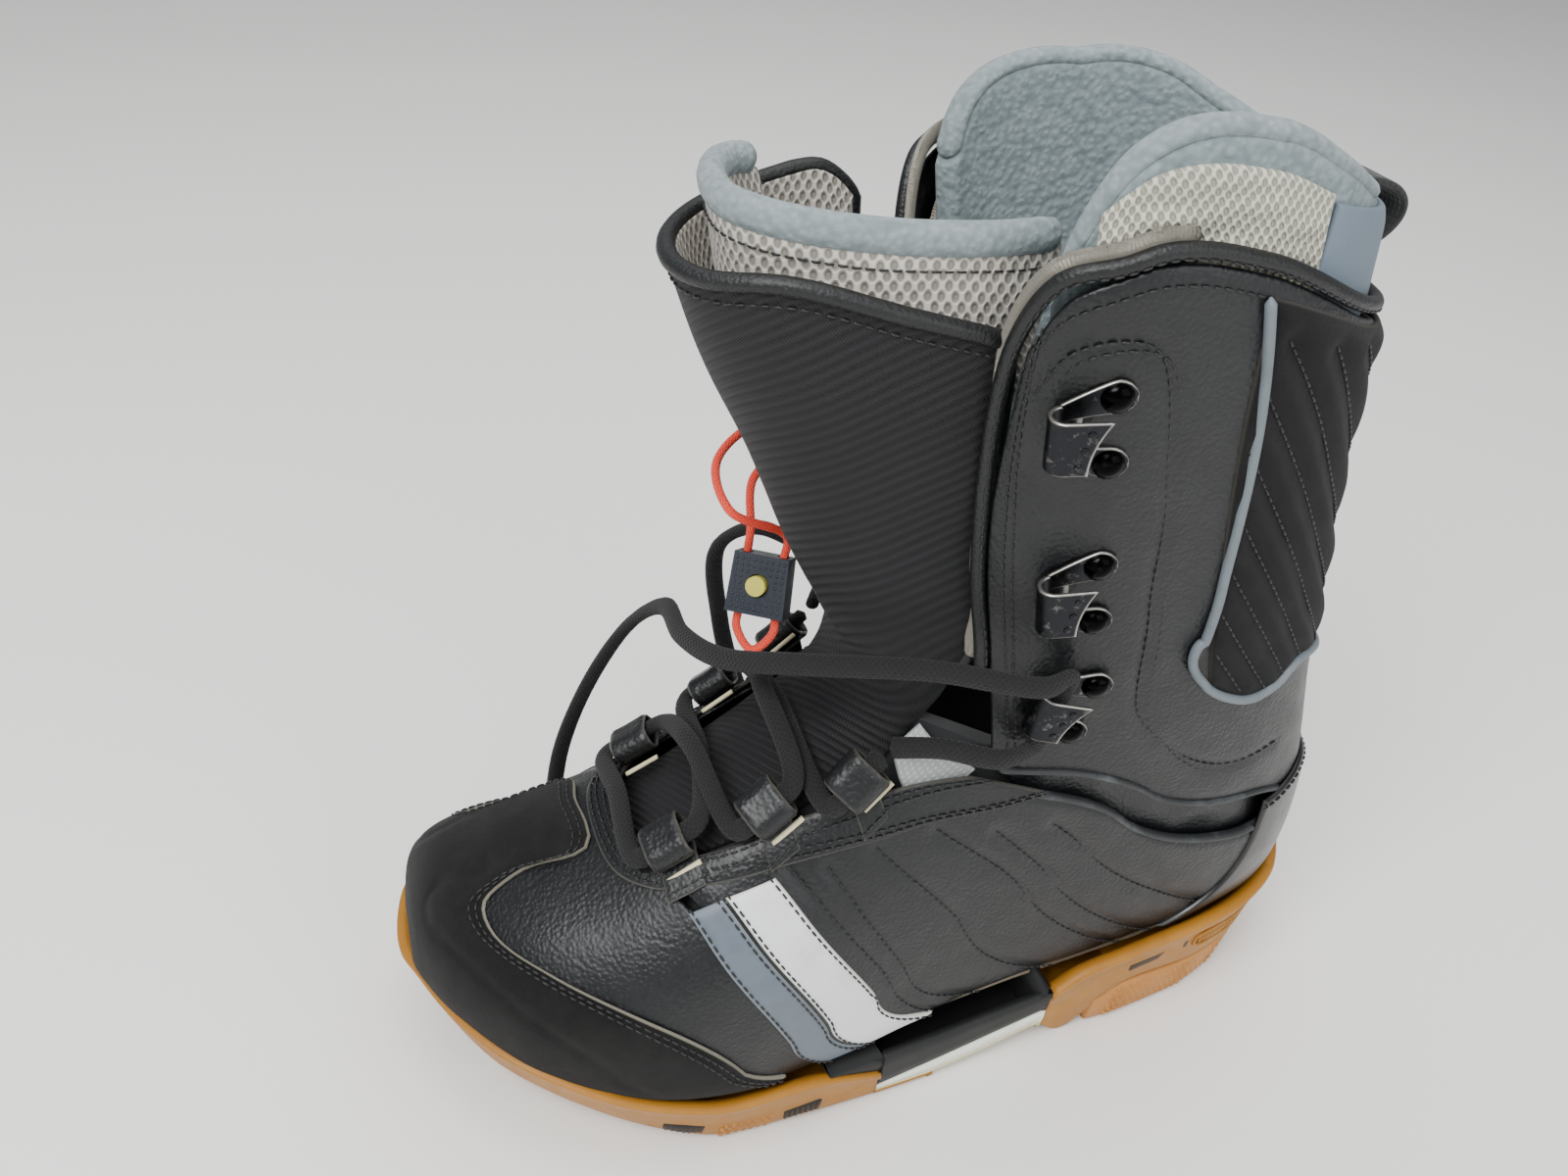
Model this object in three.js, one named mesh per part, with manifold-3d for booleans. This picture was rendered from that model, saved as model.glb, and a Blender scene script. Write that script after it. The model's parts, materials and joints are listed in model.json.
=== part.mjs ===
// Lace-up snowboard boot, left foot, in millimetres.
// The toe points to -Y and the heel to +Y, the wearer's little-toe side is +X and up is +Z.
// The tread rests on z = 0, and the origin is on the flat tread behind the ball of the foot.
import * as THREE from "three";
import { mergeVertices } from "three/addons/utils/BufferGeometryUtils.js";
import Module from "manifold-3d";

const wasm = await Module();
wasm.setup();

// ---- Driving dimensions -------------------------------------------------------------------

const SOLE_LENGTH = 314; // toe tip to heel back of the upper's last, heel to toe
const BALL_WIDTH = 110; // across the ball of the last
const SHAFT_HEIGHT = 318; // ground to the front of the collar section
const GAP = 0.4; // clearance between pieces that touch
const LEATHER = 2.0; // upper leather, outside face on the last surface
const OVERLAY = 1.4; // leather and suede overlays, outside the upper
const STRIPE = 0.8; // sewn-on stripes
const COUNTER = 1.8; // moulded heel counter
const LINING = 1.9; // textile lining inside the cuff
const CLENCH = 0.8; // strip behind each pair of rivets
const GUSSET = 1.4; // flex panel under the ankle slot
const LINER_WALL = 7.5; // foam of the removable liner
const BOARD = 5.2; // lasting board with its filler
const FOOTBED = 3.5; // loose insole in the liner
const LINER_PANEL = 2; // foam panel on the liner's back
const TONGUE = 3.0; // padded nylon tongue
const LINER_TONGUE = 5.0; // foam tongue of the liner
const BINDING_RADIUS = 2.1; // rolled edge of the cuff
const HOOK_SHEET = 1.2; // steel of the lace hooks
const HOOK_WIDTH = 15;
const HOOK_REACH = 15; // rivet line to the hook's bend
const HOOK_RISE = 6.4; // lace room under the hook
const RIVET_SPACING = 19;
const RIVET_HEAD = 4.1;
const RIVET_SHANK = 1.5;
const LACE_RADIUS = 2.6;
const LOOP_WIDTH = 11; // leather lace loops, along the throat
const LOOP_WALL = 1.4;
const SOLE_EDGE = 6; // rubber wall around the foam core
const TREAD = 8; // rubber under the foam core
const HEEL_BLOCK = 20; // height of the pale heel tread block
const CORD_RADIUS = 1.3; // liner draw cord
const LOCK = { width: 18, height: 18, depth: 8, floor: -2.5 };
const BUTTON = { radius: 3, length: 6.3, travel: 2 };
const PULL_STRAP = { width: 13, thick: 1.8, reach: 20 };

// Depths under the last surface (positive is inward) of the layers that lie on each other.
const OVER = 0.8; // from the upper to the overlays sewn on it
const LINING_TOP = LEATHER + GAP + CLENCH + GAP + 0.2;
const LINER_TOP = LINING_TOP + LINING + GAP;
const GUSSET_TOP = LEATHER + 0.9;

// Sections of the last, from the toe to the collar. Each one is a rounded outline in a plane
// that fans up the foot and the leg: the sole-side end, the top-side end, the half widths about
// the centre line, the fullness of the lower and upper halves, the widest level and the centre.
const SECTIONS = [
  { sole: [-154, 38], top: [-154, 46], out: 10, in: 10, low: 2.2, high: 2.2, wide: 0.45, mid: -20 },
  { sole: [-151, 34], top: [-151, 59], out: 20, in: 25, low: 2.3, high: 2.2, wide: 0.42, mid: -21 },
  { sole: [-142, 31], top: [-143, 70], out: 34, in: 32, low: 2.6, high: 2.2, wide: 0.38, mid: -19 },
  { sole: [-122, 26], top: [-124, 81], out: 49, in: 43, low: 3.0, high: 2.3, wide: 0.33, mid: -11 },
  { sole: [-92, 21], top: [-97, 94], out: 57, in: 50, low: 3.2, high: 2.3, wide: 0.3, mid: -4 },
  { sole: [-60, 17], top: [-72, 111], out: 57, in: 51, low: 3.4, high: 2.3, wide: 0.28, mid: 0 },
  { sole: [-30, 16], top: [-50, 129], out: 53, in: 46, low: 4.0, high: 2.3, wide: 0.28, mid: 0 },
  { sole: [2, 18], top: [-34, 145], out: 48, in: 42, low: 4.4, high: 2.4, wide: 0.32, mid: 0 },
  { sole: [40, 20], top: [-22, 159], out: 44, in: 40, low: 4.6, high: 2.5, wide: 0.4, mid: 0 },
  { sole: [85, 23], top: [-15, 172], out: 43, in: 40, low: 4.2, high: 2.6, wide: 0.45, mid: 0 },
  { sole: [122, 26], top: [-12, 184], out: 43, in: 41, low: 3.4, high: 2.7, wide: 0.5, mid: 0 },
  { sole: [145, 38], top: [-10, 195], out: 44, in: 42, low: 2.6, high: 2.8, wide: 0.5, mid: 0 },
  { sole: [151, 62], top: [-9, 206], out: 46, in: 44, low: 2.3, high: 2.9, wide: 0.5, mid: 0 },
  { sole: [148, 95], top: [-9, 218], out: 47, in: 45, low: 2.2, high: 3.0, wide: 0.5, mid: 0 },
  { sole: [138, 130], top: [-10, 232], out: 48, in: 47, low: 2.2, high: 3.0, wide: 0.5, mid: 0 },
  { sole: [128, 170], top: [-12, 250], out: 50, in: 49, low: 2.2, high: 3.0, wide: 0.5, mid: 0 },
  { sole: [118, 215], top: [-14, 271], out: 52, in: 51, low: 2.2, high: 3.0, wide: 0.5, mid: 0 },
  { sole: [112, 258], top: [-16, 293], out: 54, in: 53, low: 2.2, high: 3.0, wide: 0.5, mid: 0 },
  { sole: [108, 290], top: [-19, 318], out: 55, in: 54, low: 2.2, high: 3.0, wide: 0.5, mid: 0 },
  { sole: [104, 320], top: [-22, 345], out: 56, in: 55, low: 2.2, high: 3.0, wide: 0.5, mid: 0 },
];

// ---- The last surface ---------------------------------------------------------------------

const ALONG = SOLE_LENGTH / 314;
const ACROSS = BALL_WIDTH / 110;
const GROUND_TO_ANKLE = 130;
const rise = (z) => {
  const stretch = (SHAFT_HEIGHT - GROUND_TO_ANKLE) / (318 - GROUND_TO_ANKLE);
  return z <= GROUND_TO_ANKLE ? z : GROUND_TO_ANKLE + (z - GROUND_TO_ANKLE) * stretch;
};
const ROWS = SECTIONS.map((q) => [
  q.sole[0] * ALONG, rise(q.sole[1]), q.top[0] * ALONG, rise(q.top[1]),
  q.out * ACROSS, q.in * ACROSS, q.low, q.high, q.wide, q.mid * ACROSS,
]);

const spline = (a, b, c, d, t) =>
  0.5 * (2 * b + (c - a) * t + (2 * a - 5 * b + 4 * c - d) * t * t + (3 * b - a - 3 * c + d) * t ** 3);

// All values of the section at station s, smooth between the listed ones.
function section(s) {
  const last = ROWS.length - 1;
  const i = Math.min(Math.max(Math.floor(s), 0), last - 1);
  const rows = [Math.max(i - 1, 0), i, i + 1, Math.min(i + 2, last)].map((k) => ROWS[k]);
  return ROWS[i].map((_, c) => spline(rows[0][c], rows[1][c], rows[2][c], rows[3][c], s - i));
}

const bulge = (v, power) => Math.sign(v) * Math.abs(v) ** (2 / power);

// A point of the last: station s, and an angle in degrees from the top or front line,
// positive round the outer side and 180 on the sole or back line.
function lastPoint(s, degrees) {
  const [soleY, soleZ, topY, topZ, out, inner, low, high, wide, mid] = section(s);
  const angle = THREE.MathUtils.degToRad(degrees);
  const sin = Math.sin(angle);
  const cos = Math.cos(angle);
  const power = cos > 0 ? high : low;
  const h = bulge(cos, power);
  const level = h > 0 ? wide + (1 - wide) * h : wide * (1 + h);
  return new THREE.Vector3(
    mid + (sin > 0 ? out : inner) * bulge(sin, power),
    soleY + (topY - soleY) * level,
    soleZ + (topZ - soleZ) * level,
  );
}

// Outward direction of the last surface.
function lastNormal(s, degrees) {
  const ds = 0.12;
  const da = 4;
  const s0 = Math.max(s - ds, 0);
  const alongS = lastPoint(s + ds, degrees).sub(lastPoint(s0, degrees));
  const alongA = lastPoint(s, degrees + da).sub(lastPoint(s, degrees - da));
  return alongA.cross(alongS).normalize();
}

function skin(s, degrees, depth) {
  return lastPoint(s, degrees).addScaledVector(lastNormal(s, degrees), -depth);
}

// ---- Solids from grids, and boolean cuts --------------------------------------------------

function geometryFrom(points, faces) {
  const geometry = new THREE.BufferGeometry();
  geometry.setAttribute("position", new THREE.Float32BufferAttribute(points.flatMap((p) => p.toArray()), 3));
  geometry.setIndex(faces.flat());
  return geometry;
}

function volume(geometry) {
  const p = geometry.attributes.position;
  const index = geometry.index.array;
  const corners = [new THREE.Vector3(), new THREE.Vector3(), new THREE.Vector3()];
  let sum = 0;
  for (let i = 0; i < index.length; i += 3) {
    corners.forEach((corner, k) => corner.fromBufferAttribute(p, index[i + k]));
    sum += corners[0].dot(corners[1].clone().cross(corners[2])) / 6;
  }
  return sum;
}

// Turns the faces round if they point inwards.
function facingOut(geometry) {
  if (volume(geometry) < 0) {
    const index = geometry.index.array;
    for (let i = 0; i < index.length; i += 3) {
      [index[i + 1], index[i + 2]] = [index[i + 2], index[i + 1]];
    }
  }
  return geometry;
}

// A closed sheet between two grids of points, grid[row][column].
function sheetSolid(outer, inner) {
  const rows = outer.length;
  const columns = outer[0].length;
  const points = [...outer.flat(), ...inner.flat()];
  const at = (layer, i, j) => layer * rows * columns + i * columns + j;
  const faces = [];
  const quad = (a, b, c, d) => faces.push([a, b, c], [a, c, d]);
  for (let i = 0; i < rows - 1; i += 1) {
    for (let j = 0; j < columns - 1; j += 1) {
      quad(at(0, i, j), at(0, i + 1, j), at(0, i + 1, j + 1), at(0, i, j + 1));
      quad(at(1, i, j), at(1, i, j + 1), at(1, i + 1, j + 1), at(1, i + 1, j));
    }
  }
  for (let i = 0; i < rows - 1; i += 1) {
    quad(at(0, i, 0), at(1, i, 0), at(1, i + 1, 0), at(0, i + 1, 0));
    const j = columns - 1;
    quad(at(0, i, j), at(0, i + 1, j), at(1, i + 1, j), at(1, i, j));
  }
  for (let j = 0; j < columns - 1; j += 1) {
    quad(at(0, 0, j), at(0, 0, j + 1), at(1, 0, j + 1), at(1, 0, j));
    const i = rows - 1;
    quad(at(0, i, j), at(1, i, j), at(1, i, j + 1), at(0, i, j + 1));
  }
  return facingOut(geometryFrom(points, faces));
}

// A closed body through a list of rings with the same number of points, capped at both ends.
function loftSolid(rings) {
  const count = rings[0].length;
  const points = rings.flat();
  const faces = [];
  for (let i = 0; i < rings.length - 1; i += 1) {
    for (let j = 0; j < count; j += 1) {
      const k = (j + 1) % count;
      faces.push([i * count + j, i * count + k, (i + 1) * count + k]);
      faces.push([i * count + j, (i + 1) * count + k, (i + 1) * count + j]);
    }
  }
  const end = (rings.length - 1) * count;
  for (let j = 1; j < count - 1; j += 1) {
    faces.push([0, j + 1, j], [end, end + j, end + j + 1]);
  }
  return facingOut(geometryFrom(points, faces));
}

function toManifold(geometry) {
  const clean = geometry.clone();
  clean.deleteAttribute("normal");
  clean.deleteAttribute("uv");
  const merged = mergeVertices(clean, 1e-4);
  return new wasm.Manifold(new wasm.Mesh({
    numProp: 3,
    vertProperties: new Float32Array(merged.attributes.position.array),
    triVerts: new Uint32Array(merged.index.array),
  }));
}

function fromManifold(solid) {
  const mesh = solid.getMesh();
  const geometry = new THREE.BufferGeometry();
  geometry.setAttribute("position", new THREE.Float32BufferAttribute(mesh.vertProperties, 3));
  geometry.setIndex([...mesh.triVerts]);
  return geometry;
}

// The body without the tools; crumbs that a cut leaves behind are dropped.
function cut(body, ...tools) {
  const rest = tools.reduce((left, tool) => left.subtract(toManifold(tool)), toManifold(body));
  const pieces = rest.decompose().sort((a, b) => b.volume() - a.volume());
  return fromManifold(pieces[0]);
}

const join = (...bodies) =>
  fromManifold(bodies.slice(1).reduce((sum, body) => sum.add(toManifold(body)), toManifold(bodies[0])));

// ---- Panels on the last -------------------------------------------------------------------

// A smooth line through points [station, degrees], read at t from 0 to 1.
function line(points) {
  const curve = new THREE.CatmullRomCurve3(points.map(([s, a]) => new THREE.Vector3(s * 30, a, 0)), false, "centripetal");
  return (t) => {
    const p = curve.getPointAt(t);
    return [p.x / 30, p.y];
  };
}

const mirrored = (points) => points.map(([s, a]) => [s, -a]);
// The same line on the inner side too, from the outer end to the inner end, over the top.
const overTop = (points) => [...points, ...mirrored(points).reverse()];
// The same line round the back: angles run on past 180.
const roundBack = (points) => [...points, ...points.map(([s, a]) => [s, 360 - a]).reverse()];

// A panel between two lines, from depth a to depth b. Its first edge can be bowed, in degrees.
function panel(lower, upper, depthA, depthB, across, up, bow = () => 0) {
  const grid = (depth) => Array.from({ length: up + 1 }, (_, i) =>
    Array.from({ length: across + 1 }, (_, j) => {
      const [s0, a0] = lower(j / across);
      const [s1, a1] = upper(j / across);
      const t = i / up;
      const bowed = bow(t) * (1 - j / across) ** 2;
      return skin(s0 + (s1 - s0) * t, a0 + (a1 - a0) * t + bowed, depth);
    }));
  return sheetSolid(grid(depthA), grid(depthB));
}

// A tube with a closed polygon section along a curve.
function tube(curve, radius, steps, sides = 8) {
  const shape = new THREE.Shape();
  for (let i = 0; i < sides; i += 1) {
    const angle = (i / sides) * 2 * Math.PI;
    const spot = [radius * Math.cos(angle), radius * Math.sin(angle)];
    if (i === 0) shape.moveTo(...spot);
    else shape.lineTo(...spot);
  }
  shape.closePath();
  return new THREE.ExtrudeGeometry(shape, { steps, extrudePath: curve, bevelEnabled: false, curveSegments: 1 });
}

const curveThrough = (points) => new THREE.CatmullRomCurve3(points.map((p) => new THREE.Vector3(...p)), false, "centripetal");

// ---- Sole ---------------------------------------------------------------------------------

// Outline of the sole at each place along it: the ground side and the upper side.
const SOLE = [
  { y: -158, low: 33, lowOut: -16, lowIn: -26, high: 42, highOut: -14, highIn: -27 },
  { y: -154, low: 30, lowOut: -10, lowIn: -38, high: 42, highOut: -3, highIn: -43 },
  { y: -146, low: 25, lowOut: 4, lowIn: -45, high: 41, highOut: 14, highIn: -53 },
  { y: -134, low: 19, lowOut: 20, lowIn: -48, high: 40, highOut: 31, highIn: -57 },
  { y: -119, low: 13, lowOut: 31, lowIn: -50, high: 38, highOut: 44, highIn: -58 },
  { y: -98, low: 6, lowOut: 42, lowIn: -50, high: 33, highOut: 55, highIn: -58 },
  { y: -80, low: 1.5, lowOut: 49, lowIn: -49, high: 29, highOut: 59, highIn: -56 },
  { y: -68, low: 0, lowOut: 52, lowIn: -48, high: 27, highOut: 60, highIn: -55 },
  { y: -36, low: 0, lowOut: 52, lowIn: -44, high: 26, highOut: 58, highIn: -50 },
  { y: -14, low: 0, lowOut: 51, lowIn: -41, high: 24, highOut: 54, highIn: -46 },
  { y: 9, low: 0, lowOut: 49, lowIn: -40, high: 24, highOut: 51, highIn: -44 },
  { y: 30, low: 6, lowOut: 47, lowIn: -40, high: 26, highOut: 49, highIn: -43 },
  { y: 48, low: 9, lowOut: 45, lowIn: -39, high: 28, highOut: 47.5, highIn: -43 },
  { y: 60, low: 0, lowOut: 43, lowIn: -38, high: 36, highOut: 47, highIn: -43 },
  { y: 80, low: 0, lowOut: 42, lowIn: -38, high: 41, highOut: 46.5, highIn: -43.5 },
  { y: 110, low: 0, lowOut: 37, lowIn: -35, high: 45, highOut: 43.5, highIn: -42 },
  { y: 128, low: 0, lowOut: 30, lowIn: -29, high: 46, highOut: 38, highIn: -37 },
  { y: 143, low: 3, lowOut: 20, lowIn: -19, high: 47, highOut: 29, highIn: -28 },
  { y: 152, low: 9, lowOut: 10, lowIn: -9, high: 48, highOut: 18, highIn: -17 },
  { y: 157, low: 16, lowOut: 4, lowIn: -4, high: 48, highOut: 9, highIn: -8 },
];
const ARCH = { front: 9, rear: 50 }; // where the tread leaves the ground under the arch
const FOREFOOT_END = 8;
const BAND_START = -14;

// The sole's outline at y, with its sides drawn in by inset.
function soleAt(y, inset) {
  const i = SOLE.findIndex((row, k) => k > 0 && y <= row.y);
  const k = i < 0 ? SOLE.length - 1 : i;
  const [a, b] = [SOLE[k - 1], SOLE[k]];
  const t = (y - a.y) / (b.y - a.y);
  const mix = (name) => a[name] + (b[name] - a[name]) * t;
  return {
    low: mix("low"),
    high: mix("high"),
    lowOut: mix("lowOut") * ACROSS - inset,
    lowIn: mix("lowIn") * ACROSS + inset,
    highOut: mix("highOut") * ACROSS - inset,
    highIn: mix("highIn") * ACROSS + inset,
  };
}

// A slice of the sole from y0 to y1, between the heights that bottom(row, y) and top(row, y) give.
function soleSlab(y0, y1, inset, bottom, top) {
  const places = [y0, ...SOLE.map((row) => row.y).filter((y) => y > y0 + 1 && y < y1 - 1), y1];
  const rings = places.map((y) => {
    const row = soleAt(y, inset);
    const z0 = bottom(row, y);
    const z1 = Math.max(top(row, y), z0 + 0.5);
    const at = (z, lowX, highX) => {
      const t = THREE.MathUtils.clamp((z - row.low) / (row.high - row.low), 0, 1.2);
      return new THREE.Vector3(lowX + (highX - lowX) * t, y * ALONG, z);
    };
    return [at(z0, row.lowIn, row.highIn), at(z0, row.lowOut, row.highOut),
      at(z1, row.lowOut, row.highOut), at(z1, row.lowIn, row.highIn)];
  });
  return loftSolid(rings);
}

// The last itself as a solid, grown outwards, which the sole is hollowed by.
function lastSolid(grow) {
  const rings = [];
  for (let s = 0; s <= 13; s += s < 9 ? 1 : 0.5) {
    rings.push(Array.from({ length: 36 }, (_, j) => skin(s, j * 10, -grow)));
  }
  return loftSolid(rings);
}

const bandTop = (y) => 6.5 + Math.max(0, y - BAND_START) * 0.18; // top of the pale band
const archLow = (row, y) => (y < ARCH.front ? 0 : row.low);

// Foam core under the foot, from the toes to the rear of the arch.
function midsoleCore(grow) {
  const floor = (row, y) => Math.max(row.low + TREAD, y > BAND_START ? bandTop(y) + GAP : 0) - grow;
  return soleSlab(-124 - grow, ARCH.rear - GAP, SOLE_EDGE - grow, floor, (row) => row.high - 6 + grow);
}

function soleParts() {
  const upper = lastSolid(4 * GAP);
  const pockets = [toeCap(GAP), toeCap(GAP).translate(0, -GAP, 0), heelCounter(GAP)];
  const core = midsoleCore(GAP);
  const thin = 3;
  const foreTop = (row, y) => (y < BAND_START ? row.high : thin);
  const forefoot = cut(
    join(
      soleSlab(-158, BAND_START, 0, (row) => row.low, foreTop),
      soleSlab(BAND_START - 0.01, FOREFOOT_END, 0, (row) => row.low, () => thin),
    ),
    upper, core, ...pockets,
  );
  const blockTop = (y) => HEEL_BLOCK - (y < 80 ? (80 - y) * 0.5 : 0);
  const heelBlock = (grow) => soleSlab(70 - grow, 157 + 2 * grow, -grow, (row) => row.low - (grow > 0 ? 5 : 0),
    (row, y) => Math.max(blockTop(y), row.low + 2) + grow);
  const heel = cut(soleSlab(ARCH.rear, 157, 0, (row) => row.low, (row) => row.high), upper, core, heelBlock(GAP), ...pockets);
  const white = soleSlab(BAND_START + GAP, ARCH.rear - GAP, 0,
    (row, y) => Math.max(archLow(row, y), y < FOREFOOT_END + 2 ? thin + GAP : 0), (row, y) => bandTop(y));
  const ringed = soleSlab(BAND_START + GAP, ARCH.rear - GAP, 0,
    (row, y) => bandTop(y) + GAP, (row) => row.high);
  const black = cut(join(midsoleCore(0), ringed), upper);
  return { forefoot, heel, heelBlock: heelBlock(0), white, black };
}

// ---- Upper of the foot --------------------------------------------------------------------

const FEATHER = [[6.0, 112], [6.5, 114.5], [7.0, 117], [7.6, 119], [8.2, 122], [8.9, 125], [9.7, 129],
  [10.2, 135], [10.6, 148], [10.9, 179.4]]; // where the quarter tucks under, toe to heel
const THROAT = [[8.7, 62], [7.3, 46], [6.2, 35], [5.3, 28], [4.7, 21], [4.42, 11], [4.36, 0]];
const EYESTAY_EDGE = [[9.6, 79], [8.6, 71], [7.5, 60], [6.25, 47], [5.2, 36.5], [4.4, 27], [4.05, 15], [4.0, 0]];
const QUARTER_TOP = [[4.62, 26], [5.4, 31], [6.2, 37], [7.3, 48], [8.7, 65], [9.25, 75], [10.2, 91],
  [11.3, 113], [12.0, 132], [12.3, 179.4]];
const SLOT_TOP = [[9.0, 64.5], [9.6, 73], [10.75, 88], [12.0, 110], [12.35, 122], [12.5, 140], [12.6, 179.4]];
const CUFF_FRONT = [[9.0, 64.5], [10.15, 51], [11.85, 38], [14.3, 35], [16.0, 41]];
const CUFF_TOP = [[16.0, 41], [16.7, 51], [17.1, 65], [17.35, 76], [17.45, 89], [17.2, 126], [17.0, 179.4]];
const BACK_PANEL_LOW = [[13.3, 92], [13.4, 100], [13.85, 114], [14.3, 127], [14.45, 180]];
const BACK_PANEL_TOP = [[17.3, 90.5], [17.28, 98], [17.22, 112], [17.15, 127], [17.0, 180]];

function vamp() {
  const tip = [[0.02, 124], [0.02, 90], [0.02, 60], [0.02, 30], [0.02, 0]];
  const rear = [[5.95, 111.5], [5.3, 72], [4.55, 27], [4.36, 14], [4.3, 0]];
  return panel(line(overTop(tip.slice(0, -1))), line(overTop(rear.slice(0, -1))), 0, LEATHER, 26, 8);
}

// Suede toe cap: its seam runs round both smooth side panels and up the middle to the throat.
function toeCap(grow = 0) {
  const tip = [125, 104, 86, 70, 56, 38, 20, -3, -26, -44, -58, -70, -86, -104, -125].map((a) => [0.02, a]);
  const seam = [[5.45, 106], [4.45, 76], [3.3, 50], [2.7, 34], [2.65, 20], [3.2, 8], [3.9, 6], [3.9, -12], [3.9, -30],
    [3.2, -31], [2.65, -40], [2.7, -52], [3.3, -64], [4.45, -84], [5.45, -106]];
  const wide = (points) => line(points.map(([s, a]) => [s, a * (1 + 0.1 * grow)]));
  return panel(wide(tip), wide(seam), -OVER - OVERLAY - 2 * grow, -OVER + 3 * grow, 32, 7);
}

function eyestay() {
  const outer = line(overTop(EYESTAY_EDGE.slice(0, -1)));
  const inner = line(overTop(THROAT.slice(0, -1)));
  return panel(outer, inner, -OVER - OVERLAY, -OVER, 36, 2);
}

const flip = (points, side) => (side > 0 ? points : mirrored(points));

function quarter(side) {
  return panel(line(flip(FEATHER, side)), line(flip(QUARTER_TOP, side)), 0, LEATHER, 22, 8);
}

// A stripe between two slanting edges, each from the eyestay down to the sole.
function stripe(side, front, rear) {
  return panel(line(flip(front, side)), line(flip(rear, side)), -OVER - STRIPE, -OVER, 10, 1);
}
const GREY_FRONT = [[4.72, 39], [4.98, 60], [5.42, 84], [5.93, 108]];
const GREY_REAR = [[5.1, 40], [5.42, 62], [5.9, 86], [6.42, 111]];
const WHITE_FRONT = [[5.13, 40], [5.45, 62], [5.93, 86], [6.45, 111]];
const WHITE_REAR = [[5.72, 44], [6.1, 66], [6.62, 90], [7.2, 115]];

function heelCounter(grow = 0) {
  const wide = 10 * grow;
  const low = [[9.5 - grow, 124 - wide], [10.3 - grow, 130], [10.9 - grow, 143], [11.2 - grow, 162], [11.25 - grow, 180]];
  const high = [[12.15, 120 - wide], [12.6, 132], [12.95, 146], [13.1, 164], [13.15, 180]];
  return panel(line(roundBack(low.slice(0, -1))), line(roundBack(high.slice(0, -1))), -OVER - COUNTER - 3 * grow, -OVER + 3 * grow, 24, 4);
}

// Flex gusset behind the slot between the cuff and the quarter, from side to side round the heel.
function ankleGusset() {
  const low = [[9.15, 79], [10.05, 96], [11.1, 116], [11.8, 130], [12.0, 150], [12.05, 180]];
  const high = [[9.15, 61], [10.7, 83], [11.9, 105], [12.6, 125], [12.8, 150], [12.85, 180]];
  const sides = [line(roundBack(low.slice(0, -1))), line(roundBack(high.slice(0, -1)))];
  return panel(...sides, GUSSET_TOP, GUSSET_TOP + GUSSET, 32, 2);
}

function tongueLower() {
  const front = [[4.1, 16], [4.1, 0]];
  const rear = [[7.9, 50], [7.9, 25], [7.9, 0]];
  return panel(line(overTop(front.slice(0, -1))), line(overTop(rear.slice(0, -1))), LINING_TOP, LINING_TOP + TONGUE - 1.3, 12, 8);
}

// Grey webbing tab that ties the tongue to the top of the eyestay.
function ankleTab(side) {
  const low = line(flip([[7.95, 47], [8.55, 55]], side));
  const high = line(flip([[8.1, 39], [8.7, 47]], side));
  return panel(low, high, LINING_TOP - GAP - 0.9, LINING_TOP - GAP + 0.2, 3, 2);
}

// Local frame on the last: x towards the throat, y up the boot, z outwards.
function frameAt(s, degrees, depth) {
  const z = lastNormal(s, degrees);
  const up = lastPoint(s + 0.2, degrees).sub(lastPoint(s - 0.2, degrees));
  const y = up.addScaledVector(z, -up.dot(z)).normalize();
  const x = y.clone().cross(z);
  return new THREE.Matrix4().makeBasis(x, y, z).setPosition(skin(s, degrees, depth));
}

const LOOPS = [[4.78, 19], [5.9, 27], [7.15, 38]];
const LOOP = { reach: 15, rise: 9.6 };

// A leather loop: a flat ring that the lace runs through along the throat.
function laceLoop(side, [s, degrees]) {
  const outline = (w, h) => {
    const shape = new THREE.Shape();
    const r = h / 2 - 0.01;
    shape.moveTo(-w / 2 + r, -h / 2);
    shape.lineTo(w / 2 - r, -h / 2);
    shape.absarc(w / 2 - r, 0, h / 2, -Math.PI / 2, Math.PI / 2, false);
    shape.lineTo(-w / 2 + r, h / 2);
    shape.absarc(-w / 2 + r, 0, h / 2, Math.PI / 2, (3 * Math.PI) / 2, false);
    return shape;
  };
  const ring = outline(LOOP.reach, LOOP.rise);
  ring.holes.push(outline(LOOP.reach - 2 * LOOP_WALL, LOOP.rise - 2 * LOOP_WALL));
  const geometry = new THREE.ExtrudeGeometry(ring, { depth: LOOP_WIDTH, bevelEnabled: false, curveSegments: 4 });
  geometry.translate(0, 0, -LOOP_WIDTH / 2);
  geometry.rotateX(-Math.PI / 2);
  geometry.translate(0, 0, LOOP.rise / 2);
  return geometry.applyMatrix4(frameAt(s, side * degrees, -OVERLAY - OVER - GAP));
}

// ---- Cuff ---------------------------------------------------------------------------------

function backWindow() {
  const low = BACK_PANEL_LOW.map(([s, a], i) => [s - 0.02, i === 0 ? a - 1.4 : a]);
  const high = BACK_PANEL_TOP.map(([s, a], i) => [s + 0.6, i === 0 ? a - 1.4 : a]);
  return panel(line(roundBack(low.slice(0, -1))), line(roundBack(high.slice(0, -1))), -6, 9, 26, 8);
}

function cuffSide(side, window) {
  const frontBow = (t) => -side * 17.5 * Math.sin(Math.PI * t ** 0.9);
  return cut(panel(line(flip(SLOT_TOP, side)), line(flip(CUFF_TOP, side)), 0, LEATHER, 20, 13, frontBow), window);
}

function backPanel() {
  const low = line(roundBack(BACK_PANEL_LOW.slice(0, -1)));
  const high = line(roundBack(BACK_PANEL_TOP.slice(0, -1)));
  return panel(low, high, 0, LEATHER + 0.4, 26, 8);
}

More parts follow.
